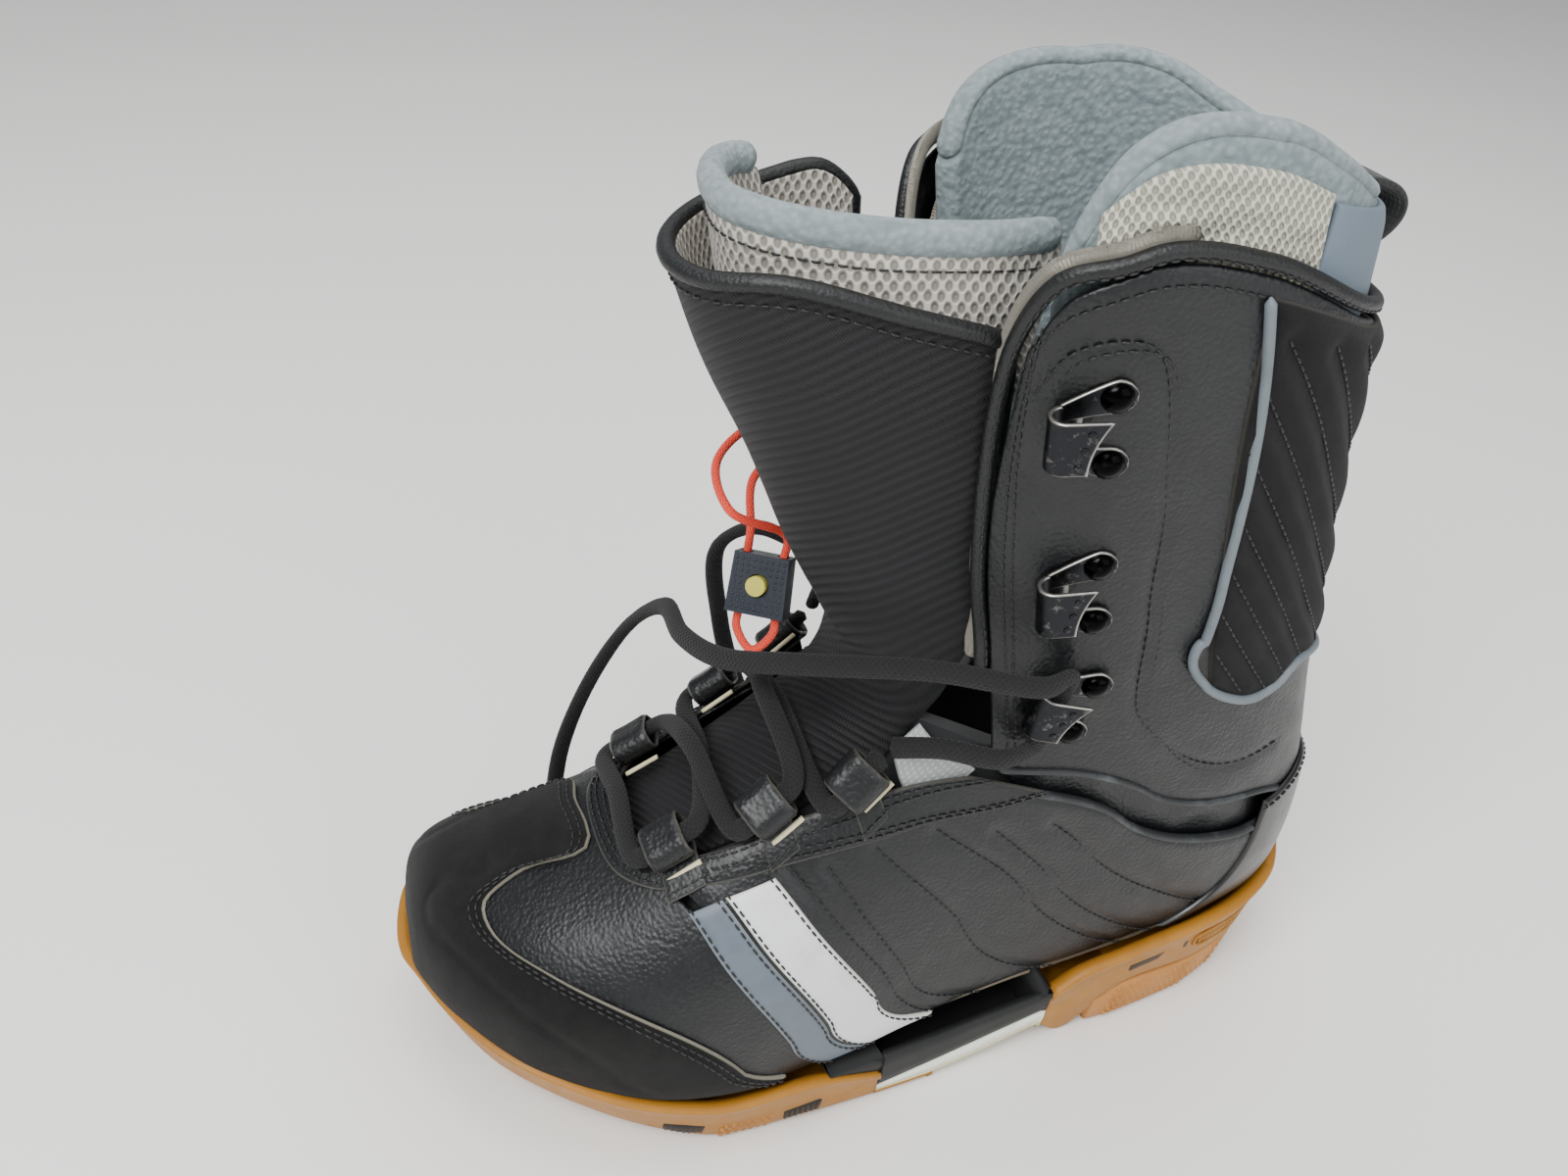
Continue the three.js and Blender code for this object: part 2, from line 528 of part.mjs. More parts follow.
// Rolled edge from the outer ankle, up the flap, round the collar and down the inner flap.
function cuffBinding() {
  const off = BINDING_RADIUS + GAP;
  const front = CUFF_FRONT.slice(1, 4).map(([s, a]) => [s, a - (off + 0.8) / 0.75]);
  const corner = [[16.05, 36.6], [16.85, 48]];
  const top = CUFF_TOP.slice(2).map(([s, a]) => [s + off / 30 + 0.03, Math.min(a, 180)]);
  const half = [...front, ...corner, ...top.slice(0, -1)];
  const edge = roundBack(half);
  const path = line(edge);
  const spots = Array.from({ length: 45 }, (_, i) => skin(...path(i / 44), LEATHER / 2));
  return tube(new THREE.CatmullRomCurve3(spots, false, "centripetal"), BINDING_RADIUS, 60, 6);
}

function cuffLining() {
  const low = [[10.9, 62], [11.6, 82], [12.7, 108], [13.2, 130], [13.4, 155], [13.45, 180]];
  const high = [[15.8, 47], [16.75, 62], [17.2, 82], [17.1, 108], [16.95, 140], [16.85, 180]];
  return panel(line(roundBack(low.slice(0, -1))), line(roundBack(high.slice(0, -1))), LINING_TOP, LINING_TOP + LINING, 28, 7);
}

const HOOKS = [
  { name: "low", s: 11.3, degrees: 70, lift: 1.3 },
  { name: "middle", s: 13.5, degrees: 67, lift: 0.4 },
  { name: "top", s: 15.68, degrees: 66, lift: 0.2 },
];

const rivetSpots = [-RIVET_SPACING / 2, RIVET_SPACING / 2];
const shankTool = (y, radius) =>
  new THREE.CylinderGeometry(radius, radius, 16, 10).rotateX(Math.PI / 2).translate(0, y, 0);

// Folded steel hook, open towards the heel: base with two ears, bend, and the plate over the lace.
function hookSolid() {
  const inner = HOOK_RISE / 2;
  const outer = inner + HOOK_SHEET;
  const profile = new THREE.Shape();
  profile.moveTo(-4, 0);
  profile.lineTo(HOOK_REACH - outer, 0);
  profile.absarc(HOOK_REACH - outer, outer, outer, -Math.PI / 2, Math.PI / 2, false);
  profile.lineTo(4, 2 * outer);
  profile.lineTo(4, 2 * outer - HOOK_SHEET);
  profile.lineTo(HOOK_REACH - outer, 2 * outer - HOOK_SHEET);
  profile.absarc(HOOK_REACH - outer, outer, inner, Math.PI / 2, -Math.PI / 2, true);
  profile.lineTo(-4, HOOK_SHEET);
  profile.closePath();
  const strip = new THREE.ExtrudeGeometry(profile, { depth: HOOK_WIDTH, bevelEnabled: false, curveSegments: 6 });
  strip.translate(0, 0, -HOOK_WIDTH / 2).rotateX(Math.PI / 2);
  const ears = new THREE.BoxGeometry(9, RIVET_SPACING + 9, HOOK_SHEET).translate(-1.5, 0, HOOK_SHEET / 2);
  return cut(join(strip, ears), ...rivetSpots.map((y) => shankTool(y, RIVET_SHANK + GAP).translate(-1.5, 0, 0)));
}

// Two domed rivets with the strip that clenches them behind the leather.
function rivetPair({ lift }) {
  const seat = HOOK_SHEET + GAP;
  const back = -(2 * GAP + LEATHER + 0.35 + lift);
  const dome = () => new THREE.LatheGeometry([
    new THREE.Vector2(0, back - 0.2), new THREE.Vector2(RIVET_SHANK, back - 0.2), new THREE.Vector2(RIVET_SHANK, seat),
    new THREE.Vector2(RIVET_HEAD, seat), new THREE.Vector2(RIVET_HEAD * 0.8, seat + 1.5), new THREE.Vector2(0, seat + 2.3),
  ], 10).rotateX(Math.PI / 2);
  const strip = new THREE.BoxGeometry(5, RIVET_SPACING + 5, CLENCH).translate(-1.5, 0, back - CLENCH / 2 + 0.1);
  return join(strip, ...rivetSpots.map((y) => dome().translate(-1.5, y, 0)));
}

function onCuff(geometry, side, spot) {
  const placed = geometry.clone();
  const frame = frameAt(spot.s, side * spot.degrees, -GAP - spot.lift);
  if (side > 0) frame.multiply(new THREE.Matrix4().makeRotationZ(Math.PI));
  return placed.applyMatrix4(frame);
}

function withRivetHoles(flap, side) {
  const tools = HOOKS.flatMap((spot) => rivetSpots.map((y) =>
    onCuff(shankTool(y, RIVET_SHANK + GAP).translate(-1.5, 0, 0), side, spot)));
  return cut(flap, ...tools);
}

// ---- Liner, tongues and small parts -------------------------------------------------------

// Foot part of the liner: a sock that is open where it meets the cuff part.
function linerFoot() {
  const around = 28;
  const mouth = line([[7.6, 0], [8.0, 40], [9.1, 68], [10.6, 95], [11.9, 122], [12.6, 150], [12.8, 180]]);
  const ring = (t, start, depth) => Array.from({ length: around }, (_, j) => {
    const a = (j / around) * 360;
    const [end] = mouth(Math.min(a, 360 - a) / 180);
    return skin(start + (end - start) * t, a, depth);
  });
  const steps = 11;
  const outer = Array.from({ length: steps + 1 }, (_, i) => ring(i / steps, 1.5, LINER_TOP));
  const inner = Array.from({ length: steps + 1 }, (_, i) => ring(1 - i / steps, 2.2, LINER_TOP + LINER_WALL));
  return loftSolid([...outer, ...inner]);
}

function footbed() {
  const right = [[2.6, 148], [5, 146], [7.5, 146], [9.3, 150]];
  const left = right.map(([s, a]) => [s, 360 - a]);
  const top = LINER_TOP + LINER_WALL + GAP + 0.2;
  return panel(line(right), line(left), top, top + FOOTBED, 14, 4);
}

function lastingBoard() {
  const right = [[1.2, 150], [3, 138], [5, 134], [7, 136], [9, 140], [10.3, 152]];
  const left = right.map(([s, a]) => [s, 360 - a]);
  return panel(line(right), line(left), 0.1, BOARD, 16, 6);
}

const LINER_COLLAR = [[16.4, 44], [17.3, 54], [18.1, 70], [18.45, 90], [18.35, 112], [18.2, 135], [18.2, 160], [18.2, 200],
  [18.25, 225], [18.35, 243], [18.25, 262], [17.85, 280], [17.15, 298], [16.4, 313]];

function linerCuff() {
  const low = [[10.2, 66], [11.3, 86], [12.3, 106], [12.95, 126], [13.2, 140], [13.3, 155], [13.35, 168], [13.35, 192],
    [13.3, 205], [13.2, 220], [12.95, 234], [12.3, 254], [11.3, 274], [10.2, 294]];
  return panel(line(low), line(LINER_COLLAR), LINER_TOP, LINER_TOP + LINER_WALL, 28, 8);
}

function linerBackPanel() {
  const low = [[17.25, 118], [17.22, 150], [17.2, 180]];
  const high = [[18.1, 122], [18.1, 150], [18.1, 180]];
  const depth = LINER_TOP - GAP - LINER_PANEL;
  return panel(line(roundBack(low.slice(0, -1))), line(roundBack(high.slice(0, -1))), depth, depth + LINER_PANEL, 14, 3);
}

// Sections of the outer tongue, from the fold to its top: apex, middle, half widths, how far the
// inner and outer wings reach back and height of the wing ends over the apex. The outer wing goes
// in behind the cuff's flap.
const TONGUE_ROWS = [
  { apex: [-24, 156], mid: -1, out: 27, in: 24, back: 10, backOut: 20, lift: -4 },
  { apex: [-34, 178], mid: -3, out: 30.5, in: 30, back: 26, backOut: 38, lift: 2 },
  { apex: [-46, 204], mid: -5, out: 31, in: 35, back: 36, backOut: 47, lift: 0 },
  { apex: [-59, 232], mid: -7, out: 34.5, in: 40, back: 45, backOut: 55, lift: -2 },
  { apex: [-72, 262], mid: -8, out: 38, in: 44, back: 54, backOut: 64, lift: -2 },
  { apex: [-77, 274], mid: -8, out: 38.5, in: 45, back: 58, backOut: 67, lift: -2 },
];

function tongueShell(rows, thick, across) {
  const grid = (inset) => rows.map((row) => Array.from({ length: across + 1 }, (_, j) => {
    const angle = THREE.MathUtils.degToRad(-96 + (192 * j) / across);
    const half = (angle > 0 ? row.out : row.in) * ACROSS - inset;
    const reach = angle > 0 ? row.backOut : row.back;
    const wing = 1 - Math.cos(angle);
    return new THREE.Vector3(
      row.mid + half * Math.sin(angle),
      row.apex[0] * ALONG + inset + (reach - inset) * wing,
      rise(row.apex[1]) + row.lift * wing,
    );
  }));
  return sheetSolid(grid(0), grid(thick));
}

const tongueUpper = () => tongueShell(TONGUE_ROWS, TONGUE, 20);

// The liner's own tongue stands inside the outer one and rises above it.
function linerTongue() {
  const inset = 7;
  const rows = TONGUE_ROWS.map((row, i) => ({
    apex: [row.apex[0] + inset - 3 + Math.min(6, 3 * i), row.apex[1] + (i === TONGUE_ROWS.length - 1 ? 14 : 0)],
    mid: row.mid + 1,
    out: row.out - inset,
    in: row.in - inset - 4,
    back: row.back - inset - Math.min(8, 4 * i),
    backOut: row.backOut - inset - Math.min(6, 3 * i),
    lift: row.lift,
  }));
  return tongueShell(rows, LINER_TONGUE, 18);
}

const PULL = { top: 18.1, bottom: 17.36 }; // stations of the strap's ends

// Webbing pull loop: a flat strap bent into a D, its ends against the liner's back panel.
function pullLoop() {
  const { width, thick, reach } = PULL_STRAP;
  const depth = LINER_TOP - 2 * GAP - LINER_PANEL;
  const ends = [PULL.top, PULL.bottom].map((s) => skin(s, 180, depth - 0.2));
  const half = ends[0].distanceTo(ends[1]) / 2;
  const plate = (grow, shift, wide) => {
    const shape = new THREE.Shape();
    shape.absellipse(0, 0, reach - grow, half - grow, -Math.PI / 2, Math.PI / 2, false);
    const solid = new THREE.ExtrudeGeometry(shape, { depth: wide, bevelEnabled: false, curveSegments: 12 });
    return solid.translate(shift, 0, -wide / 2);
  };
  const strap = cut(plate(0, 0, width), plate(thick, 0, width + 2), plate(thick, -thick - 1, width + 2));
  const up = ends[0].clone().sub(ends[1]).normalize();
  const side = new THREE.Vector3(1, 0, 0);
  const back = up.clone().cross(side);
  const place = new THREE.Matrix4().makeBasis(back, up, back.clone().cross(up));
  return strap.applyMatrix4(place.setPosition(ends[0].clone().lerp(ends[1], 0.5)));
}

// Red draw cord of the liner, its lock and the lock's button, in the lock's own frame:
// x across the two cord bores, y along them, z out of its face.
const LOCK_AT = [-13, -45, 171];
const LOCK_BORE = 5.6;
function lockFrame() {
  const face = new THREE.Vector3(0.72, -0.55, 0.42).normalize();
  const along = new THREE.Vector3(0.05, -0.1, 0.95);
  along.addScaledVector(face, -along.dot(face)).normalize();
  return new THREE.Matrix4().makeBasis(along.clone().cross(face), along, face).setPosition(...LOCK_AT);
}

function lockBody() {
  const { width, height, depth } = LOCK;
  const shape = new THREE.Shape();
  shape.moveTo(-width / 2, -height / 2);
  shape.lineTo(width / 2, -height / 2);
  shape.lineTo(width * 0.46, height / 2);
  shape.lineTo(-width * 0.46, height / 2);
  shape.closePath();
  const body = new THREE.ExtrudeGeometry(shape, { depth, bevelEnabled: false }).translate(0, 0, -depth / 2);
  const bore = (x) => new THREE.CylinderGeometry(CORD_RADIUS + 0.6, CORD_RADIUS + 0.6, height + 4, 10).translate(x, 0, 0);
  const well = new THREE.CylinderGeometry(BUTTON.radius + GAP, BUTTON.radius + GAP, depth, 16)
    .rotateX(Math.PI / 2).translate(0, 0, LOCK.floor + depth / 2);
  return cut(body, bore(-LOCK_BORE), bore(LOCK_BORE), well).applyMatrix4(lockFrame());
}

function lockButton() {
  const bottom = LOCK.floor + BUTTON.travel + GAP;
  const pin = new THREE.CylinderGeometry(BUTTON.radius, BUTTON.radius, BUTTON.length, 16);
  return pin.rotateX(Math.PI / 2).translate(0, 0, bottom + BUTTON.length / 2).applyMatrix4(lockFrame());
}

function linerCord() {
  const frame = lockFrame();
  const local = ([x, y]) => new THREE.Vector3(x, y, 0).applyMatrix4(frame).toArray();
  const down = [[-LOCK_BORE, 15], [-LOCK_BORE, 8], [-LOCK_BORE, -8], [-LOCK_BORE, -14], [0, -20]];
  const up = [[LOCK_BORE, -14], [LOCK_BORE, -8], [LOCK_BORE, 8], [LOCK_BORE, 15]];
  const points = [[-43, -12, 198], [-43, -26, 198], [-35, -42, 194], ...down.map(local), ...up.map(local),
    [-12, -56, 198], [-28, -56, 204], [-41, -42, 208], [-46, -24, 209]];
  return tube(curveThrough(points), CORD_RADIUS, 44);
}

// ---- Laces --------------------------------------------------------------------------------

// Middle of a loop, moved along the throat by step.
function loopPoint(side, index, step) {
  const [s, degrees] = LOOPS[index];
  const frame = frameAt(s, side * degrees, -OVERLAY - OVER - GAP);
  return new THREE.Vector3(0, step, LOOP.rise / 2).applyMatrix4(frame).toArray();
}

const over = (s, degrees, height) => skin(s, degrees, -height).toArray();
const THROUGH = LOOP_WIDTH / 2 + 4;

// The held part of the lace: criss-cross through the six loops, from the inner side's last loop.
function laceThreaded() {
  const pass = (side, index, up) => [-THROUGH, 0, THROUGH].map((step) => loopPoint(side, index, up * step));
  const points = [
    ...pass(-1, 2, -1), over(6.55, 0, 9.5), ...pass(1, 1, -1), over(5.4, 0, 9.5), ...pass(-1, 0, -1),
    over(4.44, 0, 8),
    ...pass(1, 0, 1), over(5.36, 0, 2.2), ...pass(-1, 1, 1), over(6.5, 0, 2.2), ...pass(1, 2, 1),
  ];
  return tube(curveThrough(points), LACE_RADIUS, 64);
}

const FLOOR = LACE_RADIUS + 0.6;
const SPIRAL = { radius: 30, pitch: 7, turns: 1.3 };
const SPIRALS = { lateral: [-98, -66], medial: [-98, 24] };
function spiralPoint([x, y], turn) {
  const radius = SPIRAL.radius - SPIRAL.pitch * turn;
  const angle = turn * 2 * Math.PI;
  return [x + radius * Math.cos(angle), y + radius * Math.sin(angle), FLOOR];
}
const spiral = (centre) => Array.from({ length: 16 }, (_, i) => spiralPoint(centre, (SPIRAL.turns * i) / 15));
const hookPoint = (spot, x, y) => {
  const frame = frameAt(spot.s, spot.degrees, -GAP - spot.lift).multiply(new THREE.Matrix4().makeRotationZ(Math.PI));
  return new THREE.Vector3(x, y, HOOK_SHEET + HOOK_RISE / 2).applyMatrix4(frame).toArray();
};

// Outer end: from the last outer loop through the low hook, across the tongue, and down the
// inner side to the floor.
function laceEndLateral() {
  const hook = HOOKS[0];
  const points = [
    loopPoint(1, 2, THROUGH + 3), [43, -8, 148], [49, 8, 146], ...[14, 9, 4, -4, -9, -14].map((y) => hookPoint(hook, 9, y)),
    [53, 14, 174], [42, -14, 176], [22, -44, 168], [0, -60, 156], [-22, -66, 149],
    [-44, -66, 144], [-58, -74, 128], [-64, -88, 98], [-67, -98, 62], [-68, -98, 28], [-68, -82, 8],
    ...spiral(SPIRALS.lateral),
  ];
  return tube(curveThrough(points), LACE_RADIUS, 72);
}

function laceEndMedial() {
  const points = [
    loopPoint(-1, 2, THROUGH + 3), [-45, -14, 150], [-58, -30, 160], [-66, -42, 150], [-68, -40, 118], [-68, -30, 80],
    [-69, -12, 40], [-68, 6, 9], ...spiral(SPIRALS.medial),
  ];
  return tube(curveThrough(points), LACE_RADIUS, 56);
}

// Metal tip on the end of a lace, in line with the spiral's last bit.
function aglet(centre) {
  const [end, before] = [SPIRAL.turns, SPIRAL.turns - 0.01].map((t) => new THREE.Vector3(...spiralPoint(centre, t)));
  const along = end.clone().sub(before).normalize().applyAxisAngle(new THREE.Vector3(0, 0, 1), 0.45);
  const tip = new THREE.CylinderGeometry(LACE_RADIUS * 0.8, LACE_RADIUS * 0.8, 18, 8);
  tip.applyQuaternion(new THREE.Quaternion().setFromUnitVectors(new THREE.Vector3(0, 1, 0), along));
  return tip.translate(...end.addScaledVector(along, 9 + 4 * GAP).toArray());
}

// ---- Assembly -----------------------------------------------------------------------------

const FINISH = {
  gum: [0xc98a2b, 0.55, 0],
  paleGum: [0xd9a25a, 0.6, 0],
  white: [0xe8ebdd, 0.6, 0],
  foam: [0x1b1c1e, 0.75, 0],
  board: [0x8a7d68, 0.9, 0],
  leather: [0x1e2226, 0.5, 0],
  suede: [0x17181a, 0.95, 0],
  grey: [0x6f7b85, 0.55, 0],
  pale: [0xdde0de, 0.5, 0],
  counter: [0x141517, 0.3, 0],
  nylon: [0x26262b, 0.85, 0],
  webbing: [0xa9afb0, 0.8, 0],
  lining: [0xd8d2c6, 0.9, 0],
  fleece: [0xa9b9bd, 0.95, 0],
  mesh: [0xd3d0c6, 0.85, 0],
  panelFoam: [0x7c8c98, 0.7, 0],
  steel: [0x3a3c40, 0.25, 1],
  rivet: [0x101114, 0.2, 1],
  lace: [0x17181b, 0.85, 0],
  cord: [0xe8301e, 0.7, 0],
  lock: [0x1c222c, 0.5, 0],
  button: [0xb9b45a, 0.45, 0],
  aglet: [0x9aa0a4, 0.3, 1],
};

const boot = new THREE.Group();

function add(name, geometry, finish) {
  const [color, roughness, metalness] = FINISH[finish];
  const mesh = new THREE.Mesh(geometry, new THREE.MeshStandardMaterial({ color, roughness, metalness }));
  mesh.name = name;
  boot.add(mesh);
}

const SIDES = [["lateral", 1], ["medial", -1]];
const sole = soleParts();
const window = backWindow();

add("outsole_forefoot", sole.forefoot, "gum");
add("outsole_heel", sole.heel, "gum");
add("heel_tread_block", sole.heelBlock, "paleGum");
add("midsole_band", sole.white, "white");
add("midsole", sole.black, "foam");
add("lasting_board", lastingBoard(), "board");
add("vamp", vamp(), "leather");
add("toe_cap", toeCap(), "suede");
add("eyestay", eyestay(), "leather");
add("heel_counter", heelCounter(), "counter");
add("tongue_lower", tongueLower(), "nylon");
add("ankle_gusset", ankleGusset(), "leather");
add("liner_foot", linerFoot(), "mesh");
add("footbed", footbed(), "foam");
SIDES.forEach(([name, side]) => {
  add(`quarter_${name}`, quarter(side), "leather");
  add(`stripe_grey_${name}`, stripe(side, GREY_FRONT, GREY_REAR), "grey");
  add(`stripe_white_${name}`, stripe(side, WHITE_FRONT, WHITE_REAR), "pale");
  add(`ankle_tab_${name}`, ankleTab(side), "webbing");
  LOOPS.forEach((spot, i) => add(`lace_loop_${name}_${i + 1}`, laceLoop(side, spot), "leather"));
  add(`cuff_${name}`, withRivetHoles(cuffSide(side, window), side), "leather");
  HOOKS.forEach((spot) => {
    add(`hook_${name}_${spot.name}`, onCuff(hookSolid(), side, spot), "steel");
    add(`rivets_${name}_${spot.name}`, onCuff(rivetPair(spot), side, spot), "rivet");
  });
  add(`aglet_${name}`, aglet(SPIRALS[name]), "aglet");
});
add("back_panel", backPanel(), "suede");
add("cuff_binding", cuffBinding(), "leather");
add("cuff_lining", cuffLining(), "lining");
add("liner_cuff", linerCuff(), "fleece");
add("liner_back_panel", linerBackPanel(), "panelFoam");
add("pull_loop", pullLoop(), "nylon");
add("tongue_upper", tongueUpper(), "nylon");
add("liner_tongue", linerTongue(), "mesh");
add("cord_lock", lockBody(), "lock");
add("lock_button", lockButton(), "button");
add("liner_cord", linerCord(), "cord");
add("lace_threaded", laceThreaded(), "lace");
add("lace_end_lateral", laceEndLateral(), "lace");
add("lace_end_medial", laceEndMedial(), "lace");

export default boot;
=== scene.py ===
# Lace-up snowboard boot, left foot. Everything is in metres in the part's frame: toe to -Y,
# wearer's little-toe side to +X, up +Z. Shapes are worked out in millimetres and scaled once.
import json
import math

import bpy
import numpy as np
from mathutils import Matrix, Vector, kdtree

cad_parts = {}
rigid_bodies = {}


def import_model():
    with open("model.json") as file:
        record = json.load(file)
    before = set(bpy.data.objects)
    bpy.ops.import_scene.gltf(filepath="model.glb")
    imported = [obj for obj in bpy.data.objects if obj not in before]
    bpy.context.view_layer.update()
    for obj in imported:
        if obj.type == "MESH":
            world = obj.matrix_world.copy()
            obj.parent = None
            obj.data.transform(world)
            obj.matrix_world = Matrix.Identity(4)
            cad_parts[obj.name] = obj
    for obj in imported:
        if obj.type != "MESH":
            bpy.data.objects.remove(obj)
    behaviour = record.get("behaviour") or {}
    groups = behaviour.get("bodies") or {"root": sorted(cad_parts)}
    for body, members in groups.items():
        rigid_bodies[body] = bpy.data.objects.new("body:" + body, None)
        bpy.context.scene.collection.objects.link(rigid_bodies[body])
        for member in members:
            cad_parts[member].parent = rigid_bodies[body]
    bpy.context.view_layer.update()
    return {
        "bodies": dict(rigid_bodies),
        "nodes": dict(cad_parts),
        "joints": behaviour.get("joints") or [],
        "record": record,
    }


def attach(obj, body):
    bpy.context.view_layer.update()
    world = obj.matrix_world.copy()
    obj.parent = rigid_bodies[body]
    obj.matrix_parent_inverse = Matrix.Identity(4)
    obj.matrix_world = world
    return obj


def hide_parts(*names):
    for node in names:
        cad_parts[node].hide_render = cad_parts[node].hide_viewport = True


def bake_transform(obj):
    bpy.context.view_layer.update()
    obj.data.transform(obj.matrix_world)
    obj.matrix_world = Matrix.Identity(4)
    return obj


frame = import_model()
NODES = frame["nodes"]
MM = 0.001
SIDES = ((1, "lateral"), (-1, "medial"))

# ---- Camera -------------------------------------------------------------------------------

AZIMUTH, ELEVATION, ROLL = math.radians(69.384), math.radians(35.101), math.radians(4.992)
LENS, SENSOR = 31.05, 36
CAMERA_AT = (0.292985, -0.152873, 0.398202)


def make_camera():
    back = Vector((math.sin(AZIMUTH) * math.cos(ELEVATION), -math.cos(AZIMUTH) * math.cos(ELEVATION),
                   math.sin(ELEVATION)))
    right = Vector((math.cos(AZIMUTH), math.sin(AZIMUTH), 0))
    up = back.cross(right)
    camera = bpy.data.objects.new("camera", bpy.data.cameras.new("camera"))
    camera.data.lens, camera.data.sensor_width = LENS, SENSOR
    axes = [math.cos(ROLL) * right + math.sin(ROLL) * up, math.cos(ROLL) * up - math.sin(ROLL) * right, back]
    turn = Matrix(axes).transposed().to_4x4()
    camera.matrix_world = Matrix.Translation(CAMERA_AT) @ turn
    bpy.context.scene.collection.objects.link(camera)
    bpy.context.scene.camera = camera


make_camera()

# ---- The last -----------------------------------------------------------------------------

# sole y, sole z, top y, top z, outer half, inner half, low power, high power, widest level, centre
SECTIONS = np.array([
    [-154, 38, -154, 46, 10, 10, 2.2, 2.2, 0.45, -20],
    [-151, 34, -151, 59, 20, 25, 2.3, 2.2, 0.42, -21],
    [-142, 31, -143, 70, 34, 32, 2.6, 2.2, 0.38, -19],
    [-122, 26, -124, 81, 49, 43, 3.0, 2.3, 0.33, -11],
    [-92, 21, -97, 94, 57, 50, 3.2, 2.3, 0.3, -4],
    [-60, 17, -72, 111, 57, 51, 3.4, 2.3, 0.28, 0],
    [-30, 16, -50, 129, 53, 46, 4.0, 2.3, 0.28, 0],
    [2, 18, -34, 145, 48, 42, 4.4, 2.4, 0.32, 0],
    [40, 20, -22, 159, 44, 40, 4.6, 2.5, 0.4, 0],
    [85, 23, -15, 172, 43, 40, 4.2, 2.6, 0.45, 0],
    [122, 26, -12, 184, 43, 41, 3.4, 2.7, 0.5, 0],
    [145, 38, -10, 195, 44, 42, 2.6, 2.8, 0.5, 0],
    [151, 62, -9, 206, 46, 44, 2.3, 2.9, 0.5, 0],
    [148, 95, -9, 218, 47, 45, 2.2, 3.0, 0.5, 0],
    [138, 130, -10, 232, 48, 47, 2.2, 3.0, 0.5, 0],
    [128, 170, -12, 250, 50, 49, 2.2, 3.0, 0.5, 0],
    [118, 215, -14, 271, 52, 51, 2.2, 3.0, 0.5, 0],
    [112, 258, -16, 293, 54, 53, 2.2, 3.0, 0.5, 0],
    [108, 290, -19, 318, 55, 54, 2.2, 3.0, 0.5, 0],
    [104, 320, -22, 345, 56, 55, 2.2, 3.0, 0.5, 0],
], float)
LEATHER, LINING, GUSSET, LINER_WALL = 2.0, 1.9, 1.4, 7.5
LINING_TOP = LEATHER + 1.8
LINER_TOP = LINING_TOP + LINING + 0.4
GUSSET_TOP = LEATHER + 0.9


def unit(v):
    return v / np.maximum(np.linalg.norm(v, axis=-1, keepdims=True), 1e-9)


def last_point(s, degrees):
    """Points of the last at stations s and angles in degrees from its top line."""
    s, degrees = np.broadcast_arrays(np.asarray(s, float), np.asarray(degrees, float))
    i = np.clip(np.floor(s), 0, len(SECTIONS) - 2).astype(int)
    t = (s - i)[..., None]
    a, b, c, d = (SECTIONS[np.clip(i + k, 0, len(SECTIONS) - 1)] for k in (-1, 0, 1, 2))
    row = 0.5 * (2 * b + (c - a) * t + (2 * a - 5 * b + 4 * c - d) * t ** 2
                 + (3 * b - a - 3 * c + d) * t ** 3)
    sole_y, sole_z, top_y, top_z, out, inner, low, high, wide, mid = np.moveaxis(row, -1, 0)
    angle = np.radians(degrees)
    sin, cos = np.sin(angle), np.cos(angle)
    power = np.where(cos > 0, high, low)
    h = np.sign(cos) * np.abs(cos) ** (2 / power)
    level = np.where(h > 0, wide + (1 - wide) * h, wide * (1 + h))
    x = mid + np.where(sin > 0, out, inner) * np.sign(sin) * np.abs(sin) ** (2 / power)
    return np.stack([x, sole_y + (top_y - sole_y) * level, sole_z + (top_z - sole_z) * level], -1)


def last_normal(s, degrees):
    s = np.asarray(s, float)
    along = last_point(s + 0.12, degrees) - last_point(np.maximum(s - 0.12, 0), degrees)
    across = last_point(s, np.add(degrees, 4)) - last_point(s, np.subtract(degrees, 4))
    return unit(np.cross(across, along))


def skin(s, degrees, depth):
    return last_point(s, degrees) - np.asarray(depth)[..., None] * last_normal(s, degrees)


def smooth(points, t):
    """The centripetal curve through points, read at fractions t of its length."""
    p = np.asarray(points, float)
    scale = np.ones(p.shape[1])
    if p.shape[1] == 2:
        scale[0] = 30
    p = p * scale
    p = np.vstack([2 * p[0] - p[1], p, 2 * p[-1] - p[-2]])
    fine = []
    for a, b, c, d in zip(p[:-3], p[1:-2], p[2:-1], p[3:]):
        k = np.cumsum([0.0] + [max(np.linalg.norm(v - u), 1e-6) ** 0.5 for u, v in ((a, b), (b, c), (c, d))])
        u = np.linspace(k[1], k[2], 20, endpoint=False)[:, None]
        a1 = (k[1] - u) / (k[1] - k[0]) * a + (u - k[0]) / (k[1] - k[0]) * b
        a2 = (k[2] - u) / (k[2] - k[1]) * b + (u - k[1]) / (k[2] - k[1]) * c
        a3 = (k[3] - u) / (k[3] - k[2]) * c + (u - k[2]) / (k[3] - k[2]) * d
        b1 = (k[2] - u) / (k[2] - k[0]) * a1 + (u - k[0]) / (k[2] - k[0]) * a2
        b2 = (k[3] - u) / (k[3] - k[1]) * a2 + (u - k[1]) / (k[3] - k[1]) * a3
        fine.append((k[2] - u) / (k[2] - k[1]) * b1 + (u - k[1]) / (k[2] - k[1]) * b2)
    fine = np.vstack([*fine, p[-2:-1]])
    length = np.concatenate([[0], np.cumsum(np.linalg.norm(np.diff(fine, axis=0), axis=1))])
    at = np.asarray(t, float) * length[-1]
    return np.stack([np.interp(at, length, column) for column in fine.T], -1) / scale


